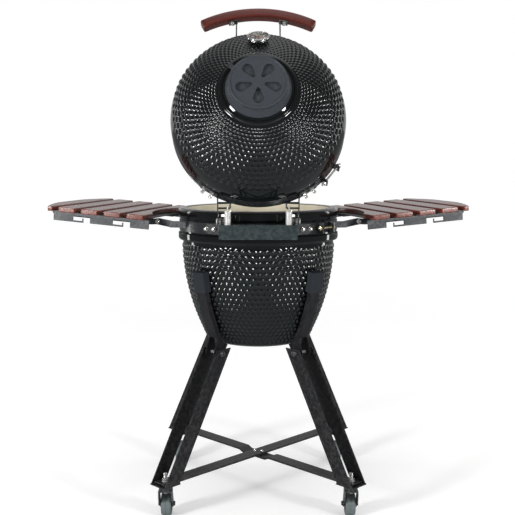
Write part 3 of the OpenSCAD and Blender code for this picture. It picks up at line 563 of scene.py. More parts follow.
STAND_BLACK = Finish("stand_black", (0.0055, 0.0055, 0.0070), (0.0085, 0.0085, 0.0100), (0.34, 0.44),
                     bump=Coarseness.PEBBLED, wear=0.2, dust=0.003, specular=0.22)
BRACE_BLACK = Finish("brace_black", (0.010, 0.010, 0.012), (0.016, 0.016, 0.018), (0.38, 0.50),
                     bump=Coarseness.PEBBLED, wear=0.2, dust=0.008, specular=0.3)
COVER_TEAL = Finish("cover_teal", (0.0120, 0.0200, 0.0225), (0.0132, 0.0215, 0.0240), (0.42, 0.50),
                    bump=Coarseness.PEBBLED, wear=0.25, dust=0.01, specular=0.2)
TABLE_BLUE = Finish("frame_blue_grey", (0.0075, 0.0100, 0.0135), (0.0105, 0.0140, 0.0185), (0.34, 0.48),
                    coat=0.1, coat_rough=0.2, bump=Coarseness.PEBBLED, wear=0.35, specular=0.3)
VENT_GREY = Finish("vent_grey", (0.027, 0.031, 0.038), (0.037, 0.042, 0.050), (0.42, 0.56), metallic=0.1,
                   bump=Coarseness.CAST, wear=0.35, dust=0.02, specular=0.3)
DRAFT_GREY = Finish("draft_grey", (0.030, 0.033, 0.036), (0.048, 0.052, 0.056), (0.40, 0.55), metallic=0.25,
                    bump=Coarseness.CAST, wear=0.35)
PAD_RUBBER = Finish("pad_rubber", (0.0090, 0.0120, 0.0160), (0.0130, 0.0170, 0.0220), (0.48, 0.62),
                    bump=Coarseness.PEBBLED, dust=0.012, specular=0.25)
WHEEL_RUBBER = Finish("wheel_rubber", (0.075, 0.095, 0.095), (0.110, 0.135, 0.135), (0.50, 0.68),
                      bump=Coarseness.PEBBLED, dust=0.05)
WHEEL_HUB = Finish("wheel_hub", (0.028, 0.030, 0.032), (0.045, 0.048, 0.050), (0.35, 0.5))
FORK_BLACK = Finish("fork_black", (0.012, 0.012, 0.014), (0.024, 0.024, 0.027), (0.28, 0.44), coat=0.3,
                    coat_rough=0.15, wear=0.55)
SLAT_WOOD = Wood("slat_wood", (0.062, 0.012, 0.007), (0.190, 0.040, 0.022), (0.26, 0.42), coat=0.35,
                 coat_rough=0.14, wear=0.3, worn=(0.36, 0.14, 0.08), specular=0.3)
HANDLE_WOOD = Wood("handle_wood", (0.044, 0.009, 0.007), (0.115, 0.021, 0.015), (0.26, 0.40), coat=0.3,
                   coat_rough=0.14, wear=0.3, worn=(0.34, 0.11, 0.07), specular=0.3)
DIAL_CARD = Finish("dial_card", (0.62, 0.58, 0.50), (0.74, 0.70, 0.62), (0.55, 0.7))
DIAL_INK = Finish("dial_ink", (0.010, 0.010, 0.012), (0.022, 0.022, 0.024), (0.5, 0.6), tone_scale=60.0)
ZONE_COOL = Finish("zone_cool", (0.06, 0.16, 0.30), (0.08, 0.20, 0.36), (0.5, 0.6), tone_scale=60.0)
ZONE_WARM = Finish("zone_warm", (0.66, 0.42, 0.06), (0.74, 0.50, 0.10), (0.5, 0.6), tone_scale=60.0)
ZONE_HOT = Finish("zone_hot", (0.48, 0.06, 0.05), (0.58, 0.09, 0.07), (0.5, 0.6), tone_scale=60.0)
RED_ENAMEL = Finish("red_enamel", (0.42, 0.02, 0.015), (0.55, 0.035, 0.025), (0.25, 0.35), tone_scale=80.0)
LENS_GLASS = Clear("lens_glass", (0.94, 0.96, 0.97), (0.97, 0.98, 0.99), (0.01, 0.04), bump=Coarseness.GLASSY)


# ---------------------------------------------------------------- mesh making


def make_object(name: str, verts: Iterable, faces: Iterable) -> bpy.types.Object:
    """Makes a linked mesh object from points in metres, with its normals pointing outwards.

    Args:
        name: The object's name.
        verts: Points, in metres.
        faces: Tuples of point indices.

    Returns:
        The object.
    """
    mesh = bpy.data.meshes.new(name)
    mesh.from_pydata([tuple(v) for v in verts], [], [tuple(f) for f in faces])
    mesh.validate()
    face_outwards(mesh)
    made = bpy.data.objects.new(name, mesh)
    bpy.context.scene.collection.objects.link(made)
    return made


def face_outwards(mesh: bpy.types.Mesh, merge: float = 0.0) -> None:
    """Merges doubles where asked, and turns every face outwards.

    Args:
        mesh: The mesh to change.
        merge: Distance in metres within which points are merged.
    """
    work = bmesh.new()
    work.from_mesh(mesh)
    if merge:
        bmesh.ops.remove_doubles(work, verts=work.verts, dist=merge)
    bmesh.ops.recalc_face_normals(work, faces=work.faces)
    work.to_mesh(mesh)
    work.free()


def smooth(obj: bpy.types.Object, angle: float = 40.0) -> bpy.types.Object:
    """Shades a mesh smooth, except over edges sharper than an angle in degrees."""
    obj.data.shade_smooth()
    obj.data.set_sharp_from_angle(angle=math.radians(angle))
    return obj


def settle(obj: bpy.types.Object) -> bpy.types.Object:
    """Turns what an object's modifiers make into its plain mesh, and removes them."""
    bpy.context.view_layer.update()
    mesh = bpy.data.meshes.new_from_object(obj.evaluated_get(bpy.context.evaluated_depsgraph_get()))
    obj.modifiers.clear()
    old, obj.data = obj.data, mesh
    bpy.data.meshes.remove(old)
    mesh.name = obj.name
    return obj


def place(obj: bpy.types.Object, matrix: Matrix) -> bpy.types.Object:
    """Moves an object's mesh, and leaves the object itself at the origin."""
    obj.data.transform(matrix)
    return obj


def join(name: str, parts: Sequence[bpy.types.Object]) -> bpy.types.Object:
    """Joins meshes into one object that keeps each part's materials.

    Args:
        name: The joined object's name.
        parts: The objects to join.

    Returns:
        The joined object.
    """
    with bpy.context.temp_override(active_object=parts[0], selected_editable_objects=list(parts)):
        bpy.ops.object.join()
    parts[0].name = name
    return parts[0]


def soften(obj: bpy.types.Object, width: float, segments: int = 2, angle: float = 32.0) -> bpy.types.Object:
    """Rounds an object's sharp edges by a width in millimetres, and shades it.

    Args:
        obj: The object, with a closed mesh.
        width: Width of the rounding, in millimetres.
        segments: Steps across the rounding.
        angle: Edges sharper than this, in degrees, are rounded.

    Returns:
        The same object.
    """
    bevel = obj.modifiers.new("rounded", "BEVEL")
    bevel.width, bevel.segments = width * MM, segments
    bevel.limit_method, bevel.angle_limit = "ANGLE", math.radians(angle)
    bevel.use_clamp_overlap = True
    settle(obj)
    smooth(obj, 50.0)
    obj.modifiers.new("flat faces", "WEIGHTED_NORMAL").keep_sharp = True
    return settle(obj)


def refined(node: str, name: str, width: float, segments: int = 2, angle: float = 32.0) -> bpy.types.Object:
    """Copies a solid's mesh, cleans it and rounds its edges.

    Args:
        node: The solid's name.
        name: The new piece's name.
        width: Width of the rounding, in millimetres.
        segments: Steps across the rounding.
        angle: Edges sharper than this, in degrees, are rounded.

    Returns:
        The new piece.
    """
    mesh = FRAME["nodes"][node].data.copy()
    mesh.materials.clear()
    work = bmesh.new()
    work.from_mesh(mesh)
    bmesh.ops.remove_doubles(work, verts=work.verts, dist=2e-6)
    bmesh.ops.dissolve_degenerate(work, edges=work.edges, dist=1e-6)
    bmesh.ops.dissolve_limit(work, angle_limit=math.radians(0.6), verts=work.verts, edges=work.edges)
    work.to_mesh(mesh)
    work.free()
    mesh.name = name
    made = bpy.data.objects.new(name, mesh)
    bpy.context.scene.collection.objects.link(made)
    return soften(made, width, segments, angle)


def arc(centre: Point2, radius: float, start: float, end: float, steps: int) -> list[Point2]:
    """Returns points along an arc, with its angles in degrees."""
    turns = np.radians(np.linspace(start, end, steps + 1))
    return [(centre[0] + radius * math.cos(t), centre[1] + radius * math.sin(t)) for t in turns]


def rounded(points: Sequence[tuple[float, float, float]], steps: int = 4,
            closed: bool = True) -> list[Point2]:
    """Rounds the corners of an outline.

    Args:
        points: Corners as x, y and the corner's radius.
        steps: Steps in each rounded corner.
        closed: Whether the last corner joins the first.

    Returns:
        The outline's points.
    """
    made: list[Point2] = []
    count = len(points)
    for index, (x, y, radius) in enumerate(points):
        if radius <= 0 or (not closed and index in (0, count - 1)):
            made.append((x, y))
            continue
        corner = Vector((x, y))
        before = (Vector(points[index - 1][:2]) - corner)
        after = (Vector(points[(index + 1) % count][:2]) - corner)
        half = before.angle(after) / 2
        reach = min(radius / math.tan(half), before.length * 0.49, after.length * 0.49)
        start, end = corner + before.normalized() * reach, corner + after.normalized() * reach
        for step in range(steps + 1):
            t = step / steps
            made.append(tuple((1 - t) ** 2 * start + 2 * t * (1 - t) * corner + t * t * end))
    return made


def revolve(name: str, profile: Sequence[Point2], segments: int, closed: bool = False) -> bpy.types.Object:
    """Turns a profile round the Z axis into a closed mesh.

    Args:
        name: The object's name.
        profile: Radius and height of each point, in millimetres. An open profile starts and ends on the axis.
        segments: Steps round the axis.
        closed: Whether the profile is a ring's section, whose last point joins its first.

    Returns:
        The object.
    """
    verts: list[tuple[float, float, float]] = []
    rings: list[list[int]] = []
    turns = np.linspace(0.0, math.tau, segments, endpoint=False)
    for radius, height in profile:
        if radius < 1e-6:
            rings.append([len(verts)] * segments)
            verts.append((0.0, 0.0, height * MM))
        else:
            rings.append(list(range(len(verts), len(verts) + segments)))
            verts += [(radius * MM * math.cos(t), radius * MM * math.sin(t), height * MM) for t in turns]
    faces = []
    pairs = list(zip(rings, rings[1:] + rings[:1])) if closed else list(zip(rings, rings[1:]))
    for low, high in pairs:
        for i in range(segments):
            j = (i + 1) % segments
            corners = list(dict.fromkeys((low[i], low[j], high[j], high[i])))
            if len(corners) > 2:
                faces.append(corners)
    return make_object(name, verts, faces)


def prism(name: str, outline: Sequence[Point2], low: float, high: float) -> bpy.types.Object:
    """Raises a flat outline between two heights, all in millimetres."""
    count = len(outline)
    verts = [(x * MM, y * MM, z * MM) for z in (low, high) for x, y in outline]
    sides = [(i, (i + 1) % count, count + (i + 1) % count, count + i) for i in range(count)]
    return make_object(name, verts, [tuple(range(count)), tuple(range(count, 2 * count)), *sides])


def tube(name: str, path: Sequence[Sequence[float]], radius: float, sides: int = 12) -> bpy.types.Object:
    """Sweeps a round wire along a path.

    Args:
        name: The object's name.
        path: Points in millimetres.
        radius: The wire's radius, in millimetres.
        sides: Sides of the wire.

    Returns:
        The object.
    """
    points = [Vector(p) for p in path]
    across = Vector((1, 0, 0)) if abs((points[1] - points[0]).normalized().x) < 0.9 else Vector((0, 1, 0))
    verts = []
    for index, point in enumerate(points):
        ahead = points[min(index + 1, len(points) - 1)] - points[max(index - 1, 0)]
        ahead.normalize()
        across = (across - across.dot(ahead) * ahead).normalized()
        other = ahead.cross(across)
        for side in range(sides):
            turn = math.tau * side / sides
            verts.append((point + radius * (math.cos(turn) * across + math.sin(turn) * other)) * MM)
    faces = [tuple(range(sides)), tuple(range(len(verts) - sides, len(verts)))]
    for ring in range(len(points) - 1):
        for i in range(sides):
            j = (i + 1) % sides
            faces.append((ring * sides + i, ring * sides + j, (ring + 1) * sides + j, (ring + 1) * sides + i))
    return smooth(make_object(name, verts, faces), 60.0)


def hexagon(name: str, radius: float, low: float, high: float) -> bpy.types.Object:
    """Makes a nut's body with softened corners."""
    turns = [math.radians(60 * i) for i in range(6)]
    outline = [(radius * math.cos(turn), radius * math.sin(turn)) for turn in turns]
    return soften(prism(name, outline, low, high), min(0.7, (high - low) * 0.2))


def turned(name: str, profile: Sequence[Point2], segments: int = 28) -> bpy.types.Object:
    """Turns a small part on the lathe, and shades it."""
    return smooth(revolve(name, profile, segments), 35.0)


def thread(radius: float, low: float, high: float, pitch: float) -> list[Point2]:
    """Returns the profile of a screw thread, drawn as rings."""
    crests = int((high - low) / pitch)
    made: list[Point2] = []
    for i in range(crests):
        made += [(radius, low + i * pitch), (radius - pitch * 0.45, low + (i + 0.5) * pitch)]
    return [*made, (radius, low + crests * pitch)]


# ---------------------------------------------------------------- geometry node trees

GEOMETRY = "NodeSocketGeometry"


def with_tree(obj: bpy.types.Object, tree: bpy.types.NodeTree, **values: object) -> bpy.types.Object:
    """Runs a geometry node tree on an object and keeps what it makes.

    Args:
        obj: The object that carries the tree.
        tree: The tree.
        **values: The tree's inputs, with spaces in their names written as underscores.

    Returns:
        The same object, with a plain mesh.
    """
    modifier = obj.modifiers.new(tree.name, "NODES")
    modifier.node_group = tree
    sockets = {item.name: item.identifier for item in tree.interface.items_tree
               if item.item_type == "SOCKET" and item.in_out == "INPUT"}
    for label, value in values.items():
        modifier[sockets[label.replace("_", " ")]] = value
    obj.update_tag()
    return settle(obj)


def pearl_tree() -> bpy.types.NodeTree:
    """Raises staggered rings of round pearls on a turned ceramic shell."""

    def fill(graph: Graph, source: bpy.types.Node, sink: bpy.types.Node) -> None:
        """Finds the nearest pearl from the row and turn attributes, and lifts the surface over it."""
        row, turn, pitch, bare = (graph.named(name) for name in ("row", "turn", "pitch", "bare"))
        first = graph.math("FLOOR", graph.math("SUBTRACT", row, 0.5))
        nearest = None
        for step in (0.0, 1.0):
            ring = graph.math("ADD", first, step)
            stagger = graph.math("MULTIPLY", graph.math("ABSOLUTE", graph.math("MODULO", ring, 2.0)), 0.5)
            along = graph.math("MULTIPLY", graph.math("SUBTRACT", row, graph.math("ADD", ring, 0.5)),
                               source.outputs["Row Spacing"])
            across = graph.math("SUBTRACT", graph.math("FRACT", graph.math("ADD", turn, stagger)), 0.5)
            square = graph.math("ADD", graph.math("MULTIPLY", along, along),
                                graph.math("MULTIPLY", across, across))
            below = graph.math("LESS_THAN", ring, -0.5)
            above = graph.math("GREATER_THAN", ring, graph.math("SUBTRACT", source.outputs["Rows"], 0.5))
            square = graph.math("ADD", square, graph.math("MULTIPLY", graph.math("ADD", below, above), 9.0))
            nearest = square if nearest is None else graph.math("MINIMUM", nearest, square)
        reach = graph.math("MULTIPLY", source.outputs["Pearl Size"], source.outputs["Pearl Size"])
        hill = graph.math("SUBTRACT", 1.0, graph.math("DIVIDE", nearest, reach))
        pearl = graph.math("MULTIPLY", graph.math("MAXIMUM", hill, 0.0),
                           graph.math("GREATER_THAN", pitch, 0.0))
        lift = graph.math("MULTIPLY", graph.math("MULTIPLY", pearl, pitch), source.outputs["Height Ratio"])
        normal = graph.add("GeometryNodeInputNormal").outputs[0]
        offset = graph.add("ShaderNodeVectorMath", {0: normal, "Scale": lift}, operation="SCALE").outputs[0]
        moved = graph.add("GeometryNodeSetPosition", {"Geometry": source.outputs["Geometry"],
                                                      "Offset": offset})
        # Keeps each point's share of pearl height, which the glaze reads for its painted highlight.
        kept = graph.add("GeometryNodeStoreNamedAttribute",
                         {"Geometry": moved.outputs[0], "Name": "pearl", "Value": pearl},
                         data_type="FLOAT", domain="POINT")
        glazed = graph.dressed(kept.outputs[0], source.outputs["Glaze"])
        chosen = graph.math("GREATER_THAN", bare, 0.5)
        fired = graph.add("GeometryNodeSetMaterial", {"Geometry": glazed, "Selection": chosen,
                                                      "Material": source.outputs["Body"]})
        graph.feed(sink.inputs[0], fired.outputs[0])

    inputs = [("Geometry", GEOMETRY, None), ("Rows", FLOAT, 18.0), ("Row Spacing", FLOAT, 0.866),
              ("Pearl Size", FLOAT, 0.46), ("Height Ratio", FLOAT, 0.19), ("Glaze", MATERIAL, None),
              ("Body", MATERIAL, None)]
    return node_group("GeometryNodeTree", "pearl_rings", inputs, [("Geometry", GEOMETRY)], fill)


def fastener_tree() -> bpy.types.NodeTree:
    """Puts one fastener at each point, along the point's axis, with its own turn about that axis."""

    def fill(graph: Graph, source: bpy.types.Node, sink: bpy.types.Node) -> None:
        """Aligns, instances, spins and realizes the fastener."""
        axis = graph.named("axis", "FLOAT_VECTOR")
        aligned = graph.add("FunctionNodeAlignRotationToVector", {"Vector": axis}, axis="Z")
        part = graph.add("GeometryNodeObjectInfo", {"Object": source.outputs["Fastener"]})
        put = graph.planted(source.outputs["Geometry"], part.outputs["Geometry"], Rotation=aligned.outputs[0])
        spin = graph.add("FunctionNodeRandomValue", {"Max": math.tau, "Seed": source.outputs["Seed"]},
                         data_type="FLOAT")
        turn = next(s for s in spin.outputs if s.type == "VALUE" and s.enabled)
        about = graph.add("ShaderNodeCombineXYZ", {2: turn})
        spun = graph.add("GeometryNodeRotateInstances", {"Instances": put, "Rotation": about.outputs[0]})
        graph.feed(sink.inputs[0], graph.dressed(spun.outputs[0], source.outputs["Finish"]))

    inputs = [("Geometry", GEOMETRY, None), ("Fastener", "NodeSocketObject", None),
              ("Seed", "NodeSocketInt", 3), ("Finish", MATERIAL, None)]
    return node_group("GeometryNodeTree", "fasteners", inputs, [("Geometry", GEOMETRY)], fill)


def coil_tree() -> bpy.types.NodeTree:
    """Winds a closely wound spring up from each point."""

    def fill(graph: Graph, source: bpy.types.Node, sink: bpy.types.Node) -> None:
        """Sweeps a round wire along a spiral, and places it at each point."""
        radius = source.outputs["Coil Radius"]
        spiral = graph.add("GeometryNodeCurveSpiral", {
            "Resolution": 28, "Rotations": source.outputs["Turns"], "Start Radius": radius,
            "End Radius": radius, "Height": source.outputs["Height"]})
        wire = graph.add("GeometryNodeCurvePrimitiveCircle", {"Resolution": 10,
                                                              "Radius": source.outputs["Wire Radius"]})
        swept = graph.add("GeometryNodeCurveToMesh", {"Curve": spiral.outputs[0], "Fill Caps": True,
                                                      "Profile Curve": wire.outputs[0]})
        put = graph.planted(source.outputs["Geometry"], swept.outputs[0])
        graph.feed(sink.inputs[0], graph.dressed(put, source.outputs["Finish"]))

    inputs = [("Geometry", GEOMETRY, None), ("Turns", FLOAT, 16.0), ("Coil Radius", FLOAT, 0.0084),
              ("Wire Radius", FLOAT, 0.0016), ("Height", FLOAT, 0.06), ("Finish", MATERIAL, None)]
    return node_group("GeometryNodeTree", "coil_springs", inputs, [("Geometry", GEOMETRY)], fill)


def bar_tree() -> bpy.types.NodeTree:
    """Lays a round bar along X at each point, as long as the point says."""

    def fill(graph: Graph, source: bpy.types.Node, sink: bpy.types.Node) -> None:
        """Scales a unit bar to each point's length."""
        bar = graph.add("GeometryNodeMeshCylinder", {"Vertices": 14, "Radius": source.outputs["Radius"],
                                                     "Depth": 1.0})
        flat = graph.add("GeometryNodeTransform", {"Geometry": bar.outputs[0],
                                                   "Rotation": (0.0, math.pi / 2, 0.0)})
        size = graph.add("ShaderNodeCombineXYZ", {0: graph.named("reach"), 1: 1.0, 2: 1.0})
        put = graph.planted(source.outputs["Geometry"], flat.outputs[0], Scale=size.outputs[0])
        graph.feed(sink.inputs[0], graph.dressed(put, source.outputs["Finish"]))

    inputs = [("Geometry", GEOMETRY, None), ("Radius", FLOAT, 0.003), ("Finish", MATERIAL, None)]
    return node_group("GeometryNodeTree", "grate_bars", inputs, [("Geometry", GEOMETRY)], fill)


def tick_tree() -> bpy.types.NodeTree:
    """Sets out an arc of ticks about Z, and can leave out the first of every so many."""

    def fill(graph: Graph, source: bpy.types.Node, sink: bpy.types.Node) -> None:
        """Bends a line of points into the arc, and stands a flat block on each."""
        count, skip, reach = (source.outputs[label] for label in ("Count", "Skip", "Reach"))
        line = graph.add("GeometryNodeMeshLine", {"Count": count})
        index = graph.add("GeometryNodeInputIndex").outputs[0]
        share = graph.math("DIVIDE", index, graph.math("SUBTRACT", count, 1.0))
        turn = graph.math("MULTIPLY", graph.math("SUBTRACT", share, 0.5), source.outputs["Sweep"])
        spot = graph.add("ShaderNodeCombineXYZ", {
            0: graph.math("MULTIPLY", graph.math("SINE", turn), graph.math("MULTIPLY", reach, -1.0)),
            1: graph.math("MULTIPLY", graph.math("COSINE", turn), reach)})
        bent = graph.add("GeometryNodeSetPosition", {"Geometry": line.outputs[0],
                                                     "Position": spot.outputs[0]})
        size = graph.add("ShaderNodeCombineXYZ", {0: source.outputs["Width"], 1: source.outputs["Length"],
                                                  2: source.outputs["Height"]})
        block = graph.add("GeometryNodeMeshCube", {"Size": size.outputs[0]})
        kept = graph.math("MAXIMUM", graph.math("GREATER_THAN", graph.math("MODULO", index, skip), 0.5),
                          graph.math("LESS_THAN", skip, 0.5))
        facing = graph.add("ShaderNodeCombineXYZ", {2: turn})
        put = graph.planted(bent.outputs[0], block.outputs[0], Selection=kept, Rotation=facing.outputs[0])
        graph.feed(sink.inputs[0], graph.dressed(put, source.outputs["Finish"]))

    inputs = [("Geometry", GEOMETRY, None), ("Count", "NodeSocketInt", 41), ("Skip", FLOAT, 0.0),
              ("Sweep", FLOAT, math.pi), ("Reach", FLOAT, 0.02), ("Width", FLOAT, 0.0005),
              ("Length", FLOAT, 0.003), ("Height", FLOAT, 0.00025), ("Finish", MATERIAL, None)]
    return node_group("GeometryNodeTree", "tick_arc", inputs, [("Geometry", GEOMETRY)], fill)


def points_object(name: str, spots: Sequence[Sequence[float]]) -> bpy.types.Object:
    """Makes a mesh of loose points, given in metres."""
    mesh = bpy.data.meshes.new(name)
    mesh.from_pydata([tuple(s) for s in spots], [], [])
    made = bpy.data.objects.new(name, mesh)
    bpy.context.scene.collection.objects.link(made)
    return made


def give_floats(obj: bpy.types.Object, name: str, values: Sequence[float], domain: str = "POINT") -> None:
    """Stores one number for each point or face of a mesh."""
    layer = obj.data.attributes.new(name, "FLOAT", domain)
    layer.data.foreach_set("value", np.asarray(values, np.float32))


@dataclass(frozen=True)
class Placement:
    """Where a fastener sits and the way that it points, in the frame, in metres."""

    spot: Vector
    axis: Vector


def fasteners(name: str, template: bpy.types.Object, places: Sequence[Placement], finish: Finish,
              seed: int = 3) -> bpy.types.Object:
    """Puts copies of one fastener at every placement.

    Args:
        name: The piece's name.
        template: The fastener, drawn along +Z at the origin. It is removed.
        places: Where the copies go.
        finish: Their finish.
        seed: Seed of the copies' turns about their axes.

    Returns:
        The piece.
    """
    made = points_object(name, [p.spot for p in places])
    layer = made.data.attributes.new("axis", "FLOAT_VECTOR", "POINT")
    layer.data.foreach_set("vector", np.array([p.axis for p in places], np.float32).ravel())
    with_tree(made, fastener_tree(), Fastener=template, Seed=seed, Finish=finish.material())
    bpy.data.objects.remove(template)
    return made


# ---------------------------------------------------------------- the frame, and placing pieces in it

FRAME: dict = {}


def joint(name: str) -> dict:
    """Returns one of the frame's joints."""
    return next(j for j in FRAME["joints"] if j["name"] == name)


def opened() -> Matrix:
    """Returns the matrix that carries a shape drawn on the shut lid to the open lid."""
    hinge = joint("lid_hinge")
    pivot = Matrix.Translation(Vector(hinge["pos_m"]))
    return pivot @ Matrix.Rotation(math.radians(hinge["range_deg"][1]), 4, "X") @ pivot.inverted()


def behind(angle: float, radius: float, height: float, matrix: Matrix) -> Placement:
    """Places a fastener on a strap, pointing away from the pot's axis.

    Args:
        angle: Degrees from -Y, towards +X.
        radius: Distance from the axis, in millimetres.
        height: Height, in millimetres.
        matrix: Carries the placement where it belongs.

    Returns:
        The placement.
    """
    turn = math.radians(angle)
    out = Vector((math.sin(turn), -math.cos(turn), 0.0))
    return Placement(matrix @ ((out * radius + Vector((0, 0, height))) * MM), matrix.to_3x3() @ out)


def keep(obj: bpy.types.Object, body: str, slot: str, finish: Finish | None, *nodes: str) -> bpy.types.Object:
    """Dresses a piece, parents it to the body that it rides on, and hides the solids that it stands for.

    Args:
        obj: The piece, in place.
        body: The body that it rides on.
        slot: The record's material slot; not used.
        finish: Its finish, or None where it already has one.
        *nodes: Solids that it stands for.

    Returns:
        The piece.
    """
    if finish is not None:
        obj.data.materials.clear()
        obj.data.materials.append(finish.material())
    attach(obj, body)
    if nodes:
        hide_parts(*nodes)
    LOG.info("%s: %d faces, rides on %s", obj.name, len(obj.data.polygons), body)
    return obj


def rework(node: str, name: str, body: str, slot: str, finish: Finish, *rounding: float) -> None:
    """Cleans and rounds one solid's mesh, and keeps it as a piece.

    Args:
        node: The solid's name.
        name: The piece's name.
        body: The body that it rides on.
        slot: The record's material slot.
        finish: Its finish.
        *rounding: Width of the rounding in millimetres, then its steps and its least angle where they differ
            from the usual ones.
    """
    keep(refined(node, name, *rounding), body, slot, finish, node)


def dress(node: str, finish: Finish) -> None:
    """Gives a carried-over solid its finish."""
    obj = FRAME["nodes"][node]
    obj.data.materials.clear()
    obj.data.materials.append(finish.material())
    LOG.info("%s: solid kept as it is", node)


# ---------------------------------------------------------------- ceramic shells


@dataclass
class PearlShell:
    """A turned ceramic shell with rings of pearls over part of its outside.

    Args:
        count: Pearls in each ring.
        spacing: Distance between rings, as a share of the pearls' pitch.
        height: Height of a pearl, as a share of the pitch.
        samples: Profile steps in each ring of pearls.
        steps: Steps round the axis for each pearl.
    """

    count: int = 74
    spacing: float = 0.866
    height: float = 0.19
    samples: int = 6
    steps: int = 8
    profile: list = field(default_factory=list)

    def plain(self, points: Sequence[Point2], bare: bool = False) -> None:
        """Adds a smooth stretch of the profile."""
        self.profile += [(r, z, -9.0, 0.0, float(bare)) for r, z in points]

    def pearled(self, curve: Callable[[float], Point2]) -> int:
        """Adds a pearled stretch of the profile.

        Args:
            curve: Radius and height for a share from 0 to 1 along the stretch.

        Returns:
            The number of rings.
        """
        shares = np.linspace(0.0, 1.0, 1200)
        points = np.array([curve(s) for s in shares])
        lengths = np.hypot(*np.diff(points, axis=0).T)
        pitch = math.tau * points[:, 0] / self.count
        rows = np.concatenate([[0.0], np.cumsum(lengths / (self.spacing * (pitch[1:] + pitch[:-1]) / 2))])
        rings = int(rows[-1] - 0.3)
        margin = (rows[-1] - rings) / 2
        for row in np.linspace(0.0, rows[-1], int(rows[-1] * self.samples) + 1):
            share = float(np.interp(row, rows, shares))
            radius, height = curve(share)
            self.profile.append((radius, height, row - margin, math.tau * radius / self.count * MM, 0.0))
        return rings

    def build(self, name: str, rings: int) -> bpy.types.Object:
        """Turns the profile, and raises the pearls on it.

        Args:
            name: The piece's name.
            rings: Rings of pearls.

        Returns:
            The piece.
        """
        segments = self.count * self.steps
        closed = self.profile[0][0] > 1e-6
        made = revolve(name, [(p[0], p[1]) for p in self.profile], segments, closed)
        values = {"row": [], "pitch": [], "turn": []}
        for radius, _, row, pitch, _ in self.profile:
            around = 1 if radius < 1e-6 else segments
            values["row"] += [row] * around
            values["pitch"] += [pitch] * around
            values["turn"] += [i / self.steps for i in range(around)]
        for label, numbers in values.items():
            give_floats(made, label, numbers)
        give_floats(made, "bare", self.face_marks(made), "FACE")
        with_tree(made, pearl_tree(), Rows=float(rings), Row_Spacing=self.spacing, Height_Ratio=self.height,
                  Glaze=BLACK_GLAZE.material(), Body=BARE_CERAMIC.material())
        return smooth(made, 60.0)

    def face_marks(self, made: bpy.types.Object) -> np.ndarray:
        """Says for each face whether it is bare: whether all its points are on a bare stretch."""
        segments = self.count * self.steps
        marks = []
        for radius, _, _, _, bare in self.profile:
            marks += [bare] * (1 if radius < 1e-6 else segments)
        marks = np.array(marks)
        return np.array([marks[list(p.vertices)].min() for p in made.data.polygons])


def cut(obj: bpy.types.Object, tool: bpy.types.Object, finish: Finish) -> bpy.types.Object:
    """Cuts one closed mesh out of another, and removes the tool.

    Args:
        obj: The mesh that is cut.
        tool: What is cut away.
        finish: The cut faces' finish.

    Returns:
        The cut object.
    """
    tool.data.materials.append(finish.material())
    boolean = obj.modifiers.new("cut", "BOOLEAN")
    boolean.operation, boolean.solver, boolean.object = "DIFFERENCE", "EXACT", tool
    boolean.material_mode = "TRANSFER"
    settle(obj)
    bpy.data.objects.remove(tool)
    return obj


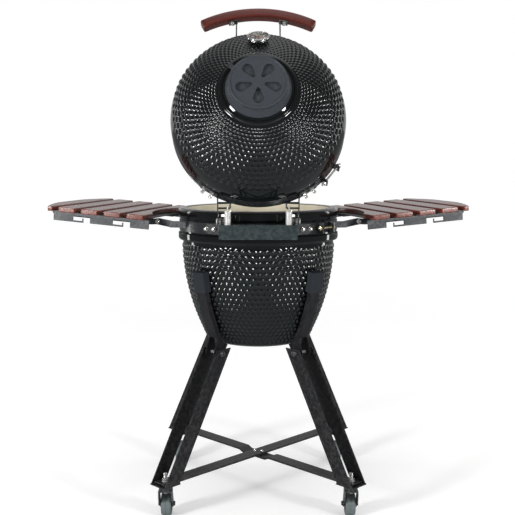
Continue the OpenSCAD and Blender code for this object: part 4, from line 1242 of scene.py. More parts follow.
@dataclass
class Pot:
    """The pot: a pearled bowl under a smooth collar, with the draft opening at its front."""

    rim: float = 960.0
    collar: float = 265.0
    groove: float = 259.0
    wall_top: float = 858.0
    bowl: float = 250.0
    curve: float = 700.0
    wall: float = 24.0
    mouth: float = 232.0
    foot: tuple[Point2, Point2, Point2] = ((134.5, 518.0), (170.5, 518.0), (182.5, 558.0))
    draft: tuple[float, float, float, float] = (-47.3, 47.3, 562.7, 611.3)

    def side(self, inset: float, height: float) -> Point2:
        """Returns the bowl's side at a height, set in by an inset."""
        drop = self.wall_top - height
        return self.bowl - self.curve + math.sqrt((self.curve - inset) ** 2 - drop * drop), height

    def build(self) -> None:
        """Builds the pot and its felt."""
        shell = PearlShell()
        flat, corner, bent = (Vector(point) for point in self.foot)
        foot = [tuple((1 - t) ** 2 * flat + 2 * t * (1 - t) * corner + t * t * bent)
                for t in np.linspace(0.0, 1.0, 41)]
        drops = (self.wall_top - bent.y, 2.0)
        turns = np.linspace(*(math.asin(drop / self.curve) for drop in drops), 160)
        flank = [(self.bowl - self.curve + self.curve * math.cos(t), self.wall_top - self.curve * math.sin(t))
                 for t in turns[1:]]
        shell.plain([(r, flat.y) for r in (0.0, 60.0, 110.0)])
        shell.plain(foot[0:14:2])
        pearled = np.array(foot + flank)[14:]
        reach = np.concatenate([[0.0], np.cumsum(np.hypot(*np.diff(pearled, axis=0).T))])

        def bowl(share: float) -> Point2:
            """Follows the foot's bend and the bowl's side upwards."""
            along = share * reach[-1]
            radius, height = (float(np.interp(along, reach, column)) for column in pearled.T)
            return radius, height

        rings = shell.pearled(bowl)
        collar = rounded([(250.2, 857.5, 0), (262.0, 859.5, 3.0), (self.collar, 864.5, 3.5),
                          (self.collar, 882.0, 1.5), (self.groove, 885.0, 1.2), (self.groove, 929.0, 1.2),
                          (self.collar, 932.0, 1.5), (self.collar, self.rim, 8.0), (244.0, self.rim, 0)],
                         4, closed=False)
        shell.plain(collar)
        lip = [(243.0, self.rim, 0), (self.mouth, self.rim, 4.0), (self.mouth, self.rim - 24, 0)]
        shell.plain(rounded(lip, 4, False), bare=True)
        shell.plain([self.side(self.wall, z) for z in np.linspace(self.rim - 30 - 75, 600, 12)], bare=True)
        shell.plain([self.side(self.wall, z) for z in (585.0, 572.0, 562.0)], bare=True)
        shell.plain([(140.0, 549.0), (118.0, 545.0), (60.0, 545.0), (0.0, 545.0)], bare=True)
        pot = shell.build("pot_shell", rings)
        left, right, bottom, top = self.draft
        hole = [(left, bottom), (right, bottom), (right, top), (left, top)]
        tool = place(prism("draft_cut", hole, -220.0, -100.0), Matrix.Rotation(math.pi / 2, 4, "X"))
        keep(cut(pot, tool, BARE_CERAMIC), "base", "glazed_ceramic", None, "pot")
        felt("pot_felt", 235.0, 256.0, self.rim, 2.5, Matrix.Identity(4), "base", "pot_gasket")


def felt(name: str, inner: float, outer: float, low: float, thick: float, matrix: Matrix, body: str,
         node: str) -> None:
    """Builds a soft-edged felt ring.

    Args:
        name: The piece's name.
        inner: Inner radius.
        outer: Outer radius.
        low: Height of its underside.
        thick: Thickness.
        matrix: Carries the ring where it belongs.
        body: The body that it rides on.
        node: The solid that it stands for.
    """
    edge = thick * 0.45
    section = rounded([(inner, low, edge), (outer, low, edge), (outer, low + thick, edge),
                       (inner, low + thick, edge)], 3)
    ring = smooth(revolve(name, section, 260, closed=True), 60.0)
    turns = np.array([math.atan2(v.co.y, v.co.x) for v in ring.data.vertices])
    for vertex, turn in zip(ring.data.vertices, turns):
        waver = 1 + 0.0009 * math.sin(23 * turn) * math.sin(7 * turn + 1)
        vertex.co.x *= waver
        vertex.co.y *= waver
    keep(place(ring, matrix), body, "felt_gasket", BLACK_FELT, node)


@dataclass
class Dome:
    """The lid: a pearled dome with a smooth lip, a strap groove and a smooth shoulder under the cap."""

    radius: float = 266.0
    rise: float = 213.0
    low: float = 965.3
    groove: float = 262.0
    inner: Point2 = (240.0, 191.0)
    shoulder: float = 113.0
    plain_rise: float = 14.0
    flue: float = 58.0

    def build(self) -> None:
        """Builds the dome and its felt."""
        start = self.low + 46.0
        top = start + self.rise * math.sin(math.acos(self.shoulder / self.radius))
        neck = start + self.rise * math.sqrt(1 - (95.0 / self.radius) ** 2)
        shell = PearlShell()
        edge = [(244.0, self.low, 0), (self.radius, self.low, 2.5), (self.radius, self.low + 6.0, 1.5),
                (self.groove, self.low + 7.5, 1.0), (self.groove, self.low + 43.5, 1.0),
                (self.radius - 0.4, self.low + 45.5, 1.5), (self.radius - 0.4, self.low + 48.0, 0)]
        shell.plain(rounded(edge, 4, False))
        smooth_zone = np.linspace(math.asin(4.0 / self.rise), math.radians(self.plain_rise - 0.6), 14)
        shell.plain([(self.radius * math.cos(t), start + self.rise * math.sin(t)) for t in smooth_zone])
        turns = math.radians(self.plain_rise), math.acos((self.shoulder + 2.0) / self.radius)

        def side(share: float) -> Point2:
            """Follows the dome's outside upwards."""
            turn = turns[0] + (turns[1] - turns[0]) * share
            return self.radius * math.cos(turn), start + self.rise * math.sin(turn)

        rings = shell.pearled(side)
        shell.plain(rounded([(self.shoulder, top + 1.2, 0), (self.shoulder - 3, top + 4.2, 2.0),
                             (self.shoulder - 9, top + 4.6, 2.0), (self.shoulder - 12, top + 2.6, 1.0),
                             (96.0, neck, 1.0), (self.flue, neck, 2.0), (self.flue, neck - 20, 0)], 4, False))
        last = math.acos((self.flue + 12.0) / self.inner[0])
        inside = [(self.inner[0] * math.cos(t), start + self.inner[1] * math.sin(t))
                  for t in np.linspace(last, 0.0, 18)]
        shell.plain(inside, bare=True)
        shell.plain([(self.inner[0], start - 20), (self.inner[0], self.low + 3),
                     (self.inner[0] + 2, self.low), (243.0, self.low)], bare=True)
        dome = shell.build("lid_shell", rings)
        bore = revolve("stem_cut", [(0, -70), (8.3, -70), (8.3, 20), (0, 20)], 40)
        cut(dome, place(bore, Thermometer().seat()), BARE_CERAMIC)
        keep(smooth(place(dome, opened()), 60.0), "lid", "glazed_ceramic", None, "lid_dome")
        felt("lid_felt", 242.0, 261.0, self.low - 2.5, 2.5, opened(), "lid", "lid_gasket")


# ---------------------------------------------------------------- inside the pot


@dataclass
class Interior:
    """What the pot holds: the firebox, the fire ring and the two grates."""

    grate: float = 208.5
    level: float = 858.2
    pitch: float = 21.0
    bars: int = 9
    cross: float = 90.0

    def build(self) -> None:
        """Builds everything inside the pot."""
        rework("firebox", "firebox_liner", "base", "unglazed_ceramic", BARE_CERAMIC, 3.0, 3)
        rework("fire_ring", "fire_ring_liner", "base", "unglazed_ceramic", BARE_CERAMIC, 3.0, 3)
        rework("charcoal_grate", "charcoal_plate", "base", "cast_iron_grate", CAST_IRON, 1.0)
        self.cooking_grate()

    def cooking_grate(self) -> None:
        """Builds the round cooking grate from its ring and bars."""
        turns = np.linspace(0.0, math.tau, 121)
        ring = tube("grate_ring", [(self.grate * math.cos(t), self.grate * math.sin(t), self.level + 5)
                                   for t in turns[:-1]], 3.4, 14)
        close = bmesh.new()
        close.from_mesh(ring.data)
        close.faces.ensure_lookup_table()
        bmesh.ops.delete(close, geom=[f for f in close.faces if len(f.verts) > 4], context="FACES")
        rims = [e for e in close.edges if e.is_boundary]
        bmesh.ops.bridge_loops(close, edges=rims)
        bmesh.ops.recalc_face_normals(close, faces=close.faces)
        close.to_mesh(ring.data)
        close.free()
        smooth(ring, 60.0)
        ring.data.materials.append(STAINLESS.material())
        rows = [i * self.pitch for i in range(-self.bars, self.bars + 1)]
        rods = points_object("grate_rods", [(0.0, row * MM, (self.level + 6.8) * MM) for row in rows])
        give_floats(rods, "reach", [2 * math.sqrt(self.grate ** 2 - row ** 2) * MM for row in rows])
        with_tree(rods, bar_tree(), Radius=2.7 * MM, Finish=STAINLESS.material())
        smooth(rods, 60.0)
        across = points_object("grate_cross", [(x * MM, 0.0, (self.level + 2.6) * MM)
                                               for x in (-self.cross, self.cross)])
        quarter = Matrix.Rotation(math.pi / 2, 4, "Z")
        across.data.transform(quarter.inverted())
        give_floats(across, "reach", [2 * math.sqrt(self.grate ** 2 - self.cross ** 2) * MM] * 2)
        with_tree(across, bar_tree(), Radius=2.5 * MM, Finish=STAINLESS.material())
        place(smooth(across, 60.0), quarter)
        keep(join("grate_assembly", [ring, rods, across]), "base", "stainless_grate", None, "cooking_grate")


# ---------------------------------------------------------------- straps and hinge


@dataclass
class Straps:
    """The two steel straps, their bolts and their clamp screws."""

    pot_radius: float = 262.2
    lid_radius: float = 265.2
    pot_middle: float = 907.0
    lid_middle: float = 990.8
    bolts: Point2 = (30.6, 36.5)
    clamps: Point2 = (46.0, 58.0)

    def bolt(self, length: float) -> bpy.types.Object:
        """Makes one band bolt: shank, washer, nut and rounded end."""
        shank = turned("bolt", [(0, 0), (3.4, 0), (3.4, 4.4), (8.6, 4.4), (9.2, 4.9), (9.2, 5.6), (8.6, 6.1),
                                (3.4, 6.1), (3.4, length - 6), (5.2, length - 6), (5.4, length - 2.6),
                                (4.4, length - 0.7), (2.4, length), (0, length)], 26)
        return join("bolt", [shank, hexagon("nut", 7.6, 6.1, 12.2)])

    def clamp(self, radius: float, middle: float, matrix: Matrix, name: str) -> bpy.types.Object:
        """Makes the long screw that draws a strap's ears together.

        Args:
            radius: The strap's outer radius.
            middle: Height of the strap's middle.
            matrix: Carries the screw where it belongs.
            name: The piece's name.

        Returns:
            The piece.
        """
        reach = radius + 13
        spread = math.radians(self.clamps[1] - self.clamps[0]) / 2
        half, drop = reach * math.sin(spread), reach * math.cos(spread)
        end = half + 16
        rod = turned("rod", [(0, -end), (2.8, -end), *thread(3.4, -end + 1, end - 1, 1.6), (2.8, end),
                             (0, end)], 20)
        nuts = [turned("nut", [(0, x), (6.6, x), (7.8, x + 0.8), (7.8, x + 6.2), (6.6, x + 7),
                               (0, x + 7)], 26) for x in (-half - 10, half + 3)]
        screw = join(name, [rod, *nuts])
        turn = math.radians(sum(self.clamps) / 2)
        seat = Matrix.Rotation(turn, 4, "Z") @ Matrix.Translation(Vector((0, -drop, middle)) * MM)
        return place(screw, matrix @ seat @ Matrix.Rotation(math.pi / 2, 4, "Y"))

    def build(self) -> None:
        """Builds the straps and their fasteners."""
        level = Matrix.Identity(4)
        for node, name, body in (("pot_band", "pot_strap", "base"), ("lid_band", "lid_strap", "lid")):
            rework(node, name, body, "black_strap", STRAP_BLACK, 0.9)
        for name, node, body, radius, middle, matrix, length in (
                ("pot_strap_bolts", "pot_band_bolts", "base", self.pot_radius, self.pot_middle, level, 20.0),
                ("lid_strap_bolts", "lid_band_bolts", "lid", self.lid_radius, self.lid_middle, opened(),
                 23.0)):
            spots = [behind(side * angle, radius - 3, middle, matrix)
                     for side in (-1, 1) for angle in self.bolts]
            bolts = fasteners(name, self.bolt(length), spots, ZINC, 5)
            keep(bolts, body, "plated_steel", None, node)
            screw = self.clamp(radius, middle, matrix, name.replace("bolts", "clamp_screw"))
            keep(screw, body, "plated_steel", BRASSY if body == "base" else ZINC)


@dataclass
class Hinge:
    """The rear hinge: side plates, cover, arms, pins and the two counterbalance springs."""

    spring_x: float = 92.0
    spring_y: float = -312.0
    anchor: float = 895.0
    hook: float = 977.0
    pin_y: float = -299.0
    pin_z: float = 937.0
    side_x: float = 109.0
    arm_x: float = 119.5
    coil: float = 8.3
    wire: float = 1.65

    def build(self) -> None:
        """Builds the whole hinge."""
        rework("hinge_base", "hinge_bracket", "base", "black_strap", STRAP_BLACK, 0.8)
        rework("hinge_cover", "hinge_cover_plate", "base", "hinge_cover_paint", COVER_TEAL, 1.3, 3)
        rework("hinge_arms", "hinge_side_arms", "lid", "black_strap", STRAP_BLACK, 0.8)
        self.pins()
        self.springs()

    def pins(self) -> None:
        """Builds the two hinge pins, with washers and peened heads."""
        inner, arm = self.side_x, self.arm_x
        profile = [(0, inner - 6), (6.4, inner - 6), (7, inner - 5.4), (7, inner - 1), (6.6, inner - 0.4),
                   (4.95, inner - 0.4), (4.95, inner + 3.3), (7.5, inner + 3.3), (7.5, arm - 0.5),
                   (4.95, arm - 0.5), (4.95, arm + 3.4), (8.5, arm + 3.4), (8.5, arm + 5.2),
                   (7.6, arm + 6.6), (5.2, arm + 7.6), (0, arm + 8)]
        places = [Placement(Vector((0, self.pin_y, self.pin_z)) * MM, Vector((side, 0, 0)))
                  for side in (-1, 1)]
        pins = fasteners("hinge_pivots", turned("pin", profile, 32), places, ZINC)
        keep(pins, "base", "plated_steel", None, "hinge_pins")

    def eye(self, x: float, z: float, up: int) -> bpy.types.Object:
        """Makes the wire hook from a spring's end to the bar that it holds."""
        start = -140 if up < 0 else 40
        turns = np.radians(np.linspace(start, start + (-260 if up < 0 else 260), 26))
        loop = [(x, self.spring_y + 5.6 * math.cos(t), z + 5.6 * math.sin(t)) for t in turns]
        stem = [(x, self.spring_y + self.coil * 0.5, z - up * 11), (x, self.spring_y + 1.0, z - up * 9)]
        return tube("eye", [*stem, *loop], self.wire)

    def springs(self) -> None:
        """Builds the two coil springs, which run from the pot to the lid."""
        low, high = self.anchor + 9.0, self.hook - 9.0
        spots = [(side * self.spring_x * MM, self.spring_y * MM, low * MM) for side in (-1, 1)]
        coils = with_tree(points_object("springs", spots), coil_tree(),
                          Turns=(high - low) / (2.16 * self.wire), Coil_Radius=self.coil * MM,
                          Wire_Radius=self.wire * MM, Height=(high - low) * MM,
                          Finish=SPRING_WIRE.material())
        face_outwards(coils.data, 1e-7)
        smooth(coils, 60.0)
        eyes = [self.eye(side * self.spring_x, z, up) for side in (-1, 1)
                for z, up in ((self.anchor, -1), (self.hook, 1))]
        for eye in eyes:
            eye.data.materials.append(SPRING_WIRE.material())
        made = join("counterbalance_springs", [coils, *eyes])
        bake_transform(made)
        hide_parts("hinge_springs")
        LOG.info("%s: bends between base and lid", made.name)


# ---------------------------------------------------------------- handle and thermometer


def grain_map(obj: bpy.types.Object, along: Callable[[Vector], tuple[float, float, float]]) -> None:
    """Gives a wooden piece its grain coordinates.

    Args:
        obj: The piece.
        along: Returns, for a point in metres, the distance along the grain, the distance across it, both in
            metres, and the board's number.
    """
    mesh = obj.data
    layer = mesh.uv_layers.new(name="grain")
    answers = [along(v.co) for v in mesh.vertices]
    for loop in mesh.loops:
        u, v, _ = answers[loop.vertex_index]
        layer.data[loop.index].uv = (u, v)
    give_floats(obj, "board", [a[2] for a in answers])


@dataclass
class Handle:
    """The curved wooden lift handle, its two steel brackets and its bolts."""

    radius: float = 366.0
    thick: float = 30.0
    low: float = 978.3
    high: float = 1011.3
    half_angle: float = 27.7
    round: float = 6.0
    middle: float = 990.8
    bolt_angle: float = 13.0
    bracket: float = 69.0
    strap: float = 265.2

    def build(self) -> None:
        """Builds the handle."""
        keep(self.bar(), "lid", "handle_wood", HANDLE_WOOD, "handle_bar")
        rework("handle_brackets", "handle_arms", "lid", "black_strap", STRAP_BLACK, 0.8)
        keep(self.bolts(), "lid", "plated_steel", None, "handle_bolts")

    def bar(self) -> bpy.types.Object:
        """Sweeps the bar's rounded section along its arc, with softened ends."""
        inner, outer = self.radius, self.radius + self.thick
        section = rounded([(inner, self.low, self.round), (outer, self.low, self.round),
                           (outer, self.high, self.round), (inner, self.high, self.round)], 6)
        centre = ((inner + outer) / 2, (self.low + self.high) / 2)
        turns = list(np.linspace(-self.half_angle, self.half_angle, 97))
        inset = [0.0] * len(turns)
        ease = 4.0
        step = math.degrees(1.0 / centre[0])
        for i, share in enumerate((1.0, 0.55, 0.22, 0.06)):
            inset[i] = inset[-1 - i] = ease * share
            turns[i] = -self.half_angle + step * ease * (0.0, 0.25, 0.6, 1.0)[i]
            turns[-1 - i] = -turns[i]
        verts, faces, count = [], [], len(section)
        for turn, shrink in zip(turns, inset):
            angle = math.radians(90 - turn)
            for r, z in section:
                keep_r = centre[0] + (r - centre[0]) * (1 - shrink / (self.thick / 2))
                keep_z = centre[1] + (z - centre[1]) * (1 - shrink / ((self.high - self.low) / 2))
                verts.append((keep_r * math.cos(angle) * MM, keep_r * math.sin(angle) * MM, keep_z * MM))
        for near in range(0, (len(turns) - 1) * count, count):
            for i in range(count):
                j, far = (i + 1) % count, near + count
                faces.append((near + i, near + j, far + j, far + i))
        faces += [tuple(range(count)), tuple(range(len(verts) - count, len(verts)))]
        bar = smooth(make_object("lift_handle", verts, faces), 50.0)
        grain_map(bar, lambda p: (math.atan2(p.x, p.y) * 0.38, math.hypot(p.x, p.y) + p.z * 0.6, 3.0))
        return place(bar, opened())

    def bolts(self) -> bpy.types.Object:
        """Makes the bolts through the bar and through the strap."""
        nut = join("bolt", [turned("shank", [(0, 0), (2.9, 0), (2.9, 4.2), (7.2, 4.2), (7.2, 5.3), (2.9, 5.3),
                                             (2.9, 12.2), (1.8, 13.3), (0, 13.5)], 24),
                            hexagon("nut", 6.5, 5.3, 10.0)])
        places = []
        band = math.degrees(math.asin(self.bracket / self.strap)) + 2
        for side in (-1, 1):
            for angle, reach, way in ((self.bolt_angle, self.radius + 0.2, -1), (band, self.strap - 2.5, 1)):
                turn = math.radians(90 - side * angle)
                out = Vector((math.cos(turn), math.sin(turn), 0))
                spot = out * reach + Vector((0, 0, self.middle))
                places.append(Placement(opened() @ (spot * MM), opened().to_3x3() @ (out * way)))
        return fasteners("handle_fixings", nut, places, ZINC, 11)


@dataclass
class Thermometer:
    """The round thermometer on the front of the dome."""

    radius: float = 33.5
    rise: float = 50.0
    dome: Point2 = (266.0, 213.0)
    start: float = 1011.3
    ticks: int = 41
    sweep: float = 270.0

    def seat(self) -> Matrix:
        """Returns the matrix of the thermometer's own frame on the shut lid, +Z pointing out of the dome."""
        turn = math.radians(self.rise)
        spot = Vector((0, self.dome[0] * math.cos(turn), self.start + self.dome[1] * math.sin(turn))) * MM
        lean = math.atan2(math.cos(turn) / self.dome[0], math.sin(turn) / self.dome[1])
        return Matrix.Translation(spot) @ Matrix.Rotation(-lean, 4, "X")

    def build(self) -> None:
        """Builds the thermometer."""
        seat = opened() @ self.seat()
        edge = self.radius
        case = rounded([(0, -78, 0), (3.9, -78, 2.5), (3.9, -8, 0.5), (7.9, -8, 0.5), (7.9, 7, 0.5),
                        (edge - 6, 7, 2.0), (edge, 11, 2.0), (edge, 19, 1.6), (edge - 2, 21, 1.6),
                        (edge - 5.4, 20.6, 1.0), (edge - 5.4, 19.2, 0.4), (edge - 2.6, 19.2, 0.3),
                        (edge - 2.6, 9, 0.4), (0, 9, 0)], 4, False)
        keep(place(smooth(revolve("thermometer_bezel", case, 96), 40.0), seat), "lid", "thermometer_chrome",
             BRIGHT_CHROME, "thermometer_case")
        card = revolve("dial_plate", [(0, 9.3), (edge - 2.9, 9.3), (edge - 2.9, 10.3), (0, 10.4)], 72)
        keep(place(smooth(card), seat), "lid", "dial_face", DIAL_CARD, "thermometer_dial")
        self.scale_marks(seat)
        self.needle(seat)
        lens = revolve("dial_lens", [(0, 17.4), (edge - 2.8, 17.4), (edge - 2.8, 18.8), (22, 19.6),
                                     (12, 20.2), (0, 20.4)], 72)
        keep(place(smooth(lens, 50.0), seat), "lid", "dial_glass", LENS_GLASS, "thermometer_lens")

    def scale_marks(self, seat: Matrix) -> None:
        """Builds the scale's ticks and its three coloured arcs."""
        step = 5
        majors = (self.ticks - 1) // step + 1
        rings = (("dial_ticks_major", majors, 0.0, self.radius - 9.7, (0.9, 4.6)),
                 ("dial_ticks_minor", self.ticks, float(step), self.radius - 8.7, (0.44, 2.6)))
        for name, count, skip, reach, (width, length) in rings:
            ring = with_tree(points_object(name, [(0, 0, 0)]), tick_tree(), Count=count, Skip=skip,
                             Sweep=math.radians(self.sweep), Reach=reach * MM, Width=width * MM,
                             Length=length * MM, Finish=DIAL_INK.material())
            keep(place(ring, seat @ Matrix.Translation((0, 0, 10.45 * MM))), "lid", "dial_face", None)
        for name, finish, start, end in (("dial_zone_cool", ZONE_COOL, 0.10, 0.38),
                                         ("dial_zone_warm", ZONE_WARM, 0.38, 0.62),
                                         ("dial_zone_hot", ZONE_HOT, 0.62, 0.9)):
            first, last = (90 + self.sweep / 2 - self.sweep * t for t in (start, end))
            outline = arc((0, 0), 15.5, first, last, 18) + arc((0, 0), 12.6, last, first, 18)
            keep(place(prism(name, outline, 10.32, 10.6), seat), "lid", "dial_face", finish)

    def needle(self, seat: Matrix) -> None:
        """Builds the pointer on its pin."""
        hub = turned("hub", [(0, 9.4), (1.2, 9.4), (1.2, 12.0), (3.2, 12.0), (3.5, 12.3), (3.5, 13.2),
                             (2.6, 14.0), (0, 14.2)], 28)
        outline = [(-6, -1.5), (0, -1.6), (23.6, -0.4), (24, 0), (23.6, 0.4), (0, 1.6), (-6, 1.5)]
        blade = soften(prism("blade", outline, 12.4, 13.4), 0.15, 1)
        pointer = join("dial_pointer", [hub, place(blade, Matrix.Rotation(math.radians(135), 4, "Z"))])
        keep(place(pointer, seat), "needle", "needle_red", RED_ENAMEL, "thermometer_needle")


# ---------------------------------------------------------------- vent and draft


@dataclass
class Vents:
    """The cap with its five petals and its damper, and the draft door at the foot of the pot."""

    def build(self) -> None:
        """Builds both vents."""
        rework("vent_collar", "vent_neck", "lid", "cast_vent_metal", VENT_GREY, 0.8)
        rework("vent_cap", "vent_top", "lid", "cast_vent_metal", VENT_GREY, 1.1, 3, 40.0)
        rework("vent_disc", "vent_damper", "vent_disc", "cast_vent_metal", VENT_GREY, 0.8, 2, 40.0)
        rework("draft_frame", "draft_surround", "base", "cast_vent_metal", DRAFT_GREY, 1.0)
        rework("draft_door", "draft_slider", "draft_door", "draft_steel", SHEET_STEEL, 0.5)
        dress("draft_screen", SHEET_STEEL)


# ---------------------------------------------------------------- stand and casters


@dataclass
class Stand:
    """The four legs, the cradle with its pads, the crossed braces and their bolts."""

    leg_reach: float = 196.0
    leg_height: float = 500.0
    leg_half: float = 34.0
    brace_top: float = 123.0

    def build(self) -> None:
        """Builds the stand."""
        for quarter in QUARTERS:
            for node, name in (("leg_", "stand_leg_"), ("cradle_arm_", "cradle_channel_")):
                rework(node + quarter, name + quarter, "base", "stand_paint", STAND_BLACK, 0.9)
        rework("cradle_pads", "cradle_sleeves", "base", "pad_rubber", PAD_RUBBER, 2.2, 3)
        for node in ("brace_upper", "brace_lower"):
            rework(node, node + "_channel", "base", "stand_paint", BRACE_BLACK, 0.8)
        rework("foot_plates", "caster_plates", "base", "stand_paint", STAND_BLACK, 0.9)
        self.bolts()

    def bolts(self) -> None:
        """Builds the leg bolts and the two screws where the braces cross."""
        inside = -3.0
        shank = [(0, -self.leg_half - 1), (4.9, -self.leg_half - 1), (4.9, inside - 8.6),
                 (4.9, inside - 1.4), (10.2, inside - 1.4), (10.2, inside), (0, inside)]
        nut = join("nut", [turned("shank", shank, 28), hexagon("hex", 9.0, inside - 8.6, inside - 1.4)])
        button = turned("button", [(0, 0), (9.6, 0), (9.6, 1.0), (8.2, 3.2), (5.2, 4.6), (2.9, 5.0),
                                   (2.6, 3.0), (0, 3.0)], 28)
        places = []
        for quarter in range(4):
            turn = math.radians(45 + 90 * quarter)
            out = Vector((math.cos(turn), math.sin(turn), 0))
            side_way = Vector((-math.sin(turn), math.cos(turn), 0))
            for side in (-1, 1):
                level = Vector((0, 0, self.leg_height))
                spot = out * self.leg_reach + side_way * side * self.leg_half + level
                places.append(Placement(spot * MM, side_way * side))
        keep(fasteners("leg_nuts", nut, places, ZINC, 21), "base", "plated_steel", None, "stand_bolts")
        keep(fasteners("leg_buttons", button, places, FORK_BLACK, 6), "base", "plated_steel", None)
        dome = [(0, -18), (2.4, -18), (2.4, -7.4), (5.5, -7.4), (5.4, -6.6), (4.2, -5.0), (2.2, -4.2),
                (1.6, -4.2), (1.2, -5.4), (0, -5.4)]
        screws = [Placement(Vector((x, 0, self.brace_top + 7.6)) * MM, Vector((0, 0, 1))) for x in (-12, 12)]
        crossing = fasteners("brace_screws", turned("screw", dome, 24), screws, ZINC, 8)
        keep(crossing, "base", "plated_steel", None)


@dataclass
class Casters:
    """The four swivel casters and their threaded stems."""

    reach: float = 410.0
    trail: float = 35.0
    wheel: float = 37.5
    width: float = 32.0
    hub: float = 18.2
    stem_low: float = 86.4
    nut: float = 123.0

    def build(self) -> None:
        """Builds the casters."""
        places = []
        for index, quarter in enumerate(QUARTERS):
            turn = math.radians(45 + 90 * index)
            spot = Vector((self.reach * math.cos(turn), self.reach * math.sin(turn), 0))
            places.append(Placement(spot * MM, Vector((0, 0, 1))))
            rework("caster_fork_" + quarter, "fork_" + quarter, "caster_" + quarter, "fork_paint",
                   FORK_BLACK, 0.9)
            back = -self.trail if index < 2 else self.trail
            self.tyre(quarter, spot + Vector((0, back, self.wheel)))
        low, nut = self.stem_low, self.nut
        stem = turned("stem", [(0, low), (9.2, low), (9.9, low + 1), (9.9, low + 5.2), (5.9, low + 5.6),
                               (5.9, nut + 0.2), (11.8, nut + 0.2), (11.8, nut + 1.6), (6.0, nut + 1.6),
                               *thread(5.9, nut + 10.0, nut + 26.5, 1.75), (4.6, nut + 27.8),
                               (0, nut + 27.9)], 28)
        stem = join("stem", [stem, hexagon("nut", 10.4, nut + 1.6, nut + 10.0)])
        stems = fasteners("caster_studs", stem, places, ZINC, 4)
        keep(stems, "base", "plated_steel", None, "caster_stems")

    def tyre(self, quarter: str, centre: Vector) -> None:
        """Builds one wheel: a soft tread on a dished hub.

        Args:
            quarter: Which caster it belongs to.
            centre: The wheel's centre, in millimetres.
        """
        half, outer = self.width / 2, self.wheel
        near_tread = [(26.2, -half + 4, 0.5), (27.5, -half, 1.0), (outer - 3.5, -half, 3.5),
                      (outer, -half + 5, 3), (outer, -2.2, 0.6), (outer - 1.0, -1.4, 0.4)]
        near_hub = [(4.1, -self.hub, 0), (9.6, -self.hub, 0.8), (10.4, -12, 1.0), (12.5, -10.5, 1.0),
                    (23.0, -9.0, 1.5), (24.4, -half + 2.2, 0.8), (26.6, -half + 2.2, 0.6)]
        tread, hub = (rounded(near + [(r, -z, bend) for r, z, bend in near[::-1]], 3)
                      for near in (near_tread, near_hub))
        parts = []
        for label, section, finish in (("tread", tread, WHEEL_RUBBER), ("hub", hub, WHEEL_HUB)):
            part = smooth(revolve(label, section, 72, closed=True), 35.0)
            part.data.materials.append(finish.material())
            parts.append(part)
        wheel = join("wheel_" + quarter + "_tyre", parts)
        place(wheel, Matrix.Translation(centre * MM) @ Matrix.Rotation(math.pi / 2, 4, "Y"))
        keep(wheel, "wheel_" + quarter, "wheel_rubber", None, "caster_wheel_" + quarter)


# ---------------------------------------------------------------- side tables


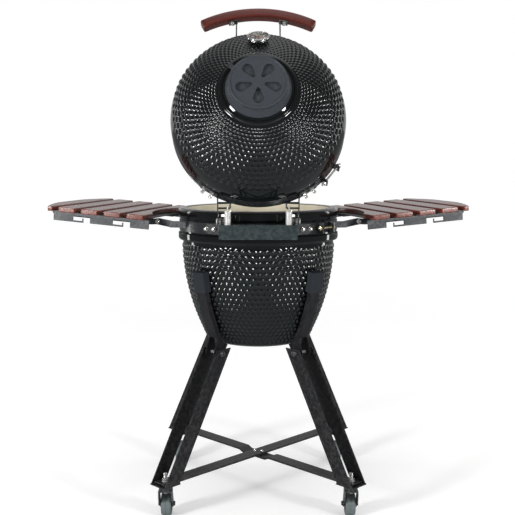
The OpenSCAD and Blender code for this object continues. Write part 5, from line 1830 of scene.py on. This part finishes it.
@dataclass
class Table:
    """One folding side table: its slats, frame and screws; its hinge pins are built with the mounts."""

    side: str
    swing: float = 14.3
    tilt: float = 4.4
    reach: float = 292.0
    height: float = 921.0
    start: float = 21.8
    pitch: float = 78.6
    slats: int = 5
    width: float = 56.3
    length: float = 498.0
    bottom: float = 6.9
    top: float = 22.9
    inner_curve: float = 353.0
    outer_curve: float = 690.0
    rail: float = 165.0

    def axes(self) -> tuple[Vector, Vector, Vector]:
        """Returns the table's own directions: out along it, across it to the front, and up from it."""
        sign, swing, tilt = SIDES[self.side], math.radians(self.swing), math.radians(self.tilt)
        out = Vector((sign * math.cos(swing) * math.cos(tilt), math.sin(swing) * math.cos(tilt),
                      math.sin(tilt)))
        across = Vector((-sign * math.sin(swing), math.cos(swing), 0))
        up = Vector((-sign * math.sin(tilt) * math.cos(swing), -math.sin(tilt) * math.sin(swing),
                     math.cos(tilt)))
        return out, across, up

    def pin(self) -> Vector:
        """Returns the middle of the hinge pins' line, in millimetres."""
        sign, swing = SIDES[self.side], math.radians(self.swing)
        return Vector((sign * self.reach * math.cos(swing), self.reach * math.sin(swing), self.height))

    def at(self, u: float, v: float, w: float) -> Vector:
        """Returns a point given in the table's own directions, in metres."""
        out, across, up = self.axes()
        return (self.pin() + u * out + v * across + w * up) * MM

    def build(self) -> None:
        """Builds the table."""
        body = "table_" + self.side
        rework("table_frame_" + self.side, "table_rails_" + self.side, body, "table_frame_paint",
               TABLE_BLUE, 0.8)
        boards = join("table_boards_" + self.side, [self.board(index) for index in range(self.slats)])
        out, across, _ = self.axes()
        pin = self.pin() * MM

        def along(point: Vector) -> tuple[float, float, float]:
            """Returns the grain coordinates of one point on the slats."""
            away = point - pin
            board = math.floor((away.dot(out) / MM - self.start + 8) / self.pitch)
            return away.dot(across) + 0.61 * board, away.dot(out) + away.z * 0.7, float(board) + self.swing

        grain_map(boards, along)
        keep(boards, body, "table_wood", SLAT_WOOD, "table_slats_" + self.side)
        self.screws(body)

    def board(self, index: int) -> bpy.types.Object:
        """Builds one slat, cut by the table's two curves and rounded at its edges.

        Args:
            index: The slat's number, from the pot outwards.

        Returns:
            The slat, in place.
        """
        near = self.start + index * self.pitch
        inner, outer = [], []
        for v in np.linspace(-self.length / 2, self.length / 2, 61):
            hollow = math.sqrt(self.inner_curve ** 2 - v * v) - self.reach if index == 0 else near
            inner.append((max(near, hollow), v))
            outer.append((min(near + self.width, math.sqrt(self.outer_curve ** 2 - v * v) - self.reach), v))
        out, across, up = self.axes()
        slat = soften(prism("board", inner + outer[::-1], self.bottom, self.top), 2.4, 3)
        turn = Matrix((out, across, up)).transposed().to_4x4()
        made = place(slat, Matrix.Translation(self.pin() * MM) @ turn)
        face_outwards(made.data)
        return smooth(made, 50.0)

    def screws(self, body: str) -> None:
        """Builds the countersunk screws that hold the slats."""
        head = turned("head", [(0, -14), (2.0, -14), (2.0, -2.6), (4.4, -0.3), (4.5, 0.2), (4.2, 0.4),
                               (1.4, 0.35), (1.1, -1.0), (0, -1.0)], 24)
        slots = [soften(prism("slot", [(-a, -b), (a, -b), (a, b), (-a, b)], 0.36, 0.42), 0.02, 1)
                 for a, b in ((2.6, 0.45), (0.45, 2.6))]
        up = self.axes()[2]
        places = []
        for index in range(self.slats):
            share = 0.36 if index == self.slats - 1 else 0.6
            u = self.start + index * self.pitch + share * self.width
            places += [Placement(self.at(u, v, self.top), up) for v in (-self.rail, self.rail)]
        screws = fasteners("slat_screws_" + self.side, join("screw", [head, *slots]), places, ZINC, 31)
        keep(screws, body, "plated_steel", None, "table_screws_" + self.side)


@dataclass
class TableMounts:
    """The fixed brackets on the pot's strap, and the tables' hinge pins."""

    rail: float = 165.0

    def build(self) -> None:
        """Builds the brackets and pins."""
        rework("table_brackets", "table_bracket_arms", "base", "table_frame_paint", TABLE_BLUE, 0.9)
        lower = [(0, -10.5), (6.2, -10.5), (7, -9.8), (7, -8.2), (6.6, -7.7), (3.95, -7.7)]
        pin = turned("pin", lower + [(r, -z) for r, z in lower[::-1]], 28)
        places = []
        for side in SIDES:
            table = Table(side)
            across = table.axes()[1]
            places += [Placement((table.pin() + across * v) * MM, across) for v in (-self.rail, self.rail)]
        keep(fasteners("table_pivots", pin, places, ZINC), "base", "plated_steel", None, "table_pins")


# ---------------------------------------------------------------- studio


@dataclass
class Lamp:
    """One soft rectangular lamp."""

    name: str
    spot: tuple[float, float, float]
    aim: tuple[float, float, float]
    size: Point2
    power: float
    colour: Colour = (1.0, 1.0, 1.0)

    def build(self) -> None:
        """Hangs the lamp and aims it."""
        data = bpy.data.lights.new(self.name, "AREA")
        data.shape, data.size, data.size_y = "RECTANGLE", *self.size
        data.energy, data.color = self.power, self.colour
        lamp = bpy.data.objects.new(self.name, data)
        bpy.context.scene.collection.objects.link(lamp)
        lamp.location = self.spot
        lamp.rotation_euler = (Vector(self.aim) - Vector(self.spot)).to_track_quat("-Z", "Y").to_euler()


@dataclass
class Studio:
    """The pale floor, the lamps, the world and the camera."""

    lens: float = 62.996
    camera_spot: tuple[float, float, float] = (-0.0024, -3.004, 1.1423)
    camera_pitch: float = 0.116
    soft: float = 0.54
    mirrored: float = 0.16
    lamps: tuple[Lamp, ...] = (
        Lamp("left_box", (-3.05, -2.95, 1.45), (0, 0, 1.0), (0.75, 1.05), 140.0),
        Lamp("right_box", (3.05, -2.95, 1.35), (0, 0, 1.0), (0.65, 0.9), 92.0),
        Lamp("overhead", (0.2, -0.2, 4.2), (0, 0, 0.9), (2.6, 2.2), 26.0),
        Lamp("left_strip", (-3.6, 1.7, 1.3), (0, 0, 0.9), (0.4, 2.2), 18.0),
        Lamp("right_strip", (3.6, 1.7, 1.3), (0, 0, 0.9), (0.4, 2.2), 18.0),
    )

    def build(self) -> None:
        """Builds the studio."""
        self.floor()
        for lamp in self.lamps:
            lamp.build()
        self.room()
        data = bpy.data.cameras.new("camera")
        data.lens, data.sensor_width = self.lens, 36.0
        data.clip_end = 400.0
        camera = bpy.data.objects.new("camera", data)
        bpy.context.scene.collection.objects.link(camera)
        camera.location = self.camera_spot
        camera.rotation_euler = (math.pi / 2 - self.camera_pitch, 0.0, 0.0)
        bpy.context.scene.camera = camera
        bpy.context.scene.view_settings.view_transform = "Standard"

    def room(self) -> None:
        """Makes the room: white to look at, softly lit, and dim in what gloss mirrors."""
        world = bpy.data.worlds.new("pale_room")
        world.use_nodes = True
        graph = Graph(world.node_tree)
        ray = graph.add("ShaderNodeLightPath")
        way = graph.add("ShaderNodeSeparateXYZ", {0: graph.add("ShaderNodeTexCoord").outputs["Generated"]})
        wall = graph.span(way.outputs[1], 0.45, 0.85, self.mirrored, 0.6)
        glossy = graph.math("MULTIPLY", ray.outputs["Is Glossy Ray"], graph.math("SUBTRACT", self.soft, wall))
        lit = graph.math("SUBTRACT", self.soft, glossy)
        background = world.node_tree.nodes["Background"]
        graph.feed(background.inputs["Strength"], graph.math("MAXIMUM", lit, ray.outputs["Is Camera Ray"]))
        background.inputs["Color"].default_value = (1.0, 1.0, 1.0, 1.0)
        bpy.context.scene.world = world

    def floor(self) -> None:
        """Lays the pale floor, which fades into the room far away."""
        size = 60.0
        floor = make_object("floor", [(-size, -size, 0), (size, -size, 0), (size, size, 0), (-size, size, 0)],
                            [(0, 1, 2, 3)])
        finish = Finish("pale_floor", (0.86, 0.86, 0.86), (0.90, 0.90, 0.90), (0.6, 0.7), tone_scale=1.5)
        material = finish.material()
        graph = Graph(material.node_tree)
        shader = material.node_tree.nodes["Principled BSDF"]
        ray = graph.add("ShaderNodeLightPath").outputs["Is Glossy Ray"]
        pale = shader.inputs["Base Color"].links[0].from_socket
        graph.feed(shader.inputs["Base Color"], graph.mix(ray, pale, (0.30, 0.31, 0.31)))
        shader.inputs["Emission Color"].default_value = (1.0, 1.0, 1.0, 1.0)
        spot = graph.add("ShaderNodeTexCoord").outputs["Object"]
        away = graph.add("ShaderNodeVectorMath", {0: spot}, operation="LENGTH").outputs["Value"]
        glow = graph.span(away, 0.8, 6.0, 0.22, 0.55)
        graph.feed(shader.inputs["Emission Strength"],
                   graph.math("MULTIPLY", glow, graph.math("SUBTRACT", 1.0, ray)))
        floor.data.materials.append(material)


def main() -> None:
    """Builds the grill and its studio in order."""
    logging.basicConfig(level=logging.INFO, format="%(message)s")
    FRAME.update(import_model())
    Studio().build()
    for part in (Pot(), Dome(), Interior(), Straps(), Hinge(), Handle(), Thermometer(), Vents(), Stand(),
                 Casters(), Table("right"), Table("left"), TableMounts()):
        LOG.info("== %s", type(part).__name__)
        part.build()


if __name__ == "__main__":
    main()
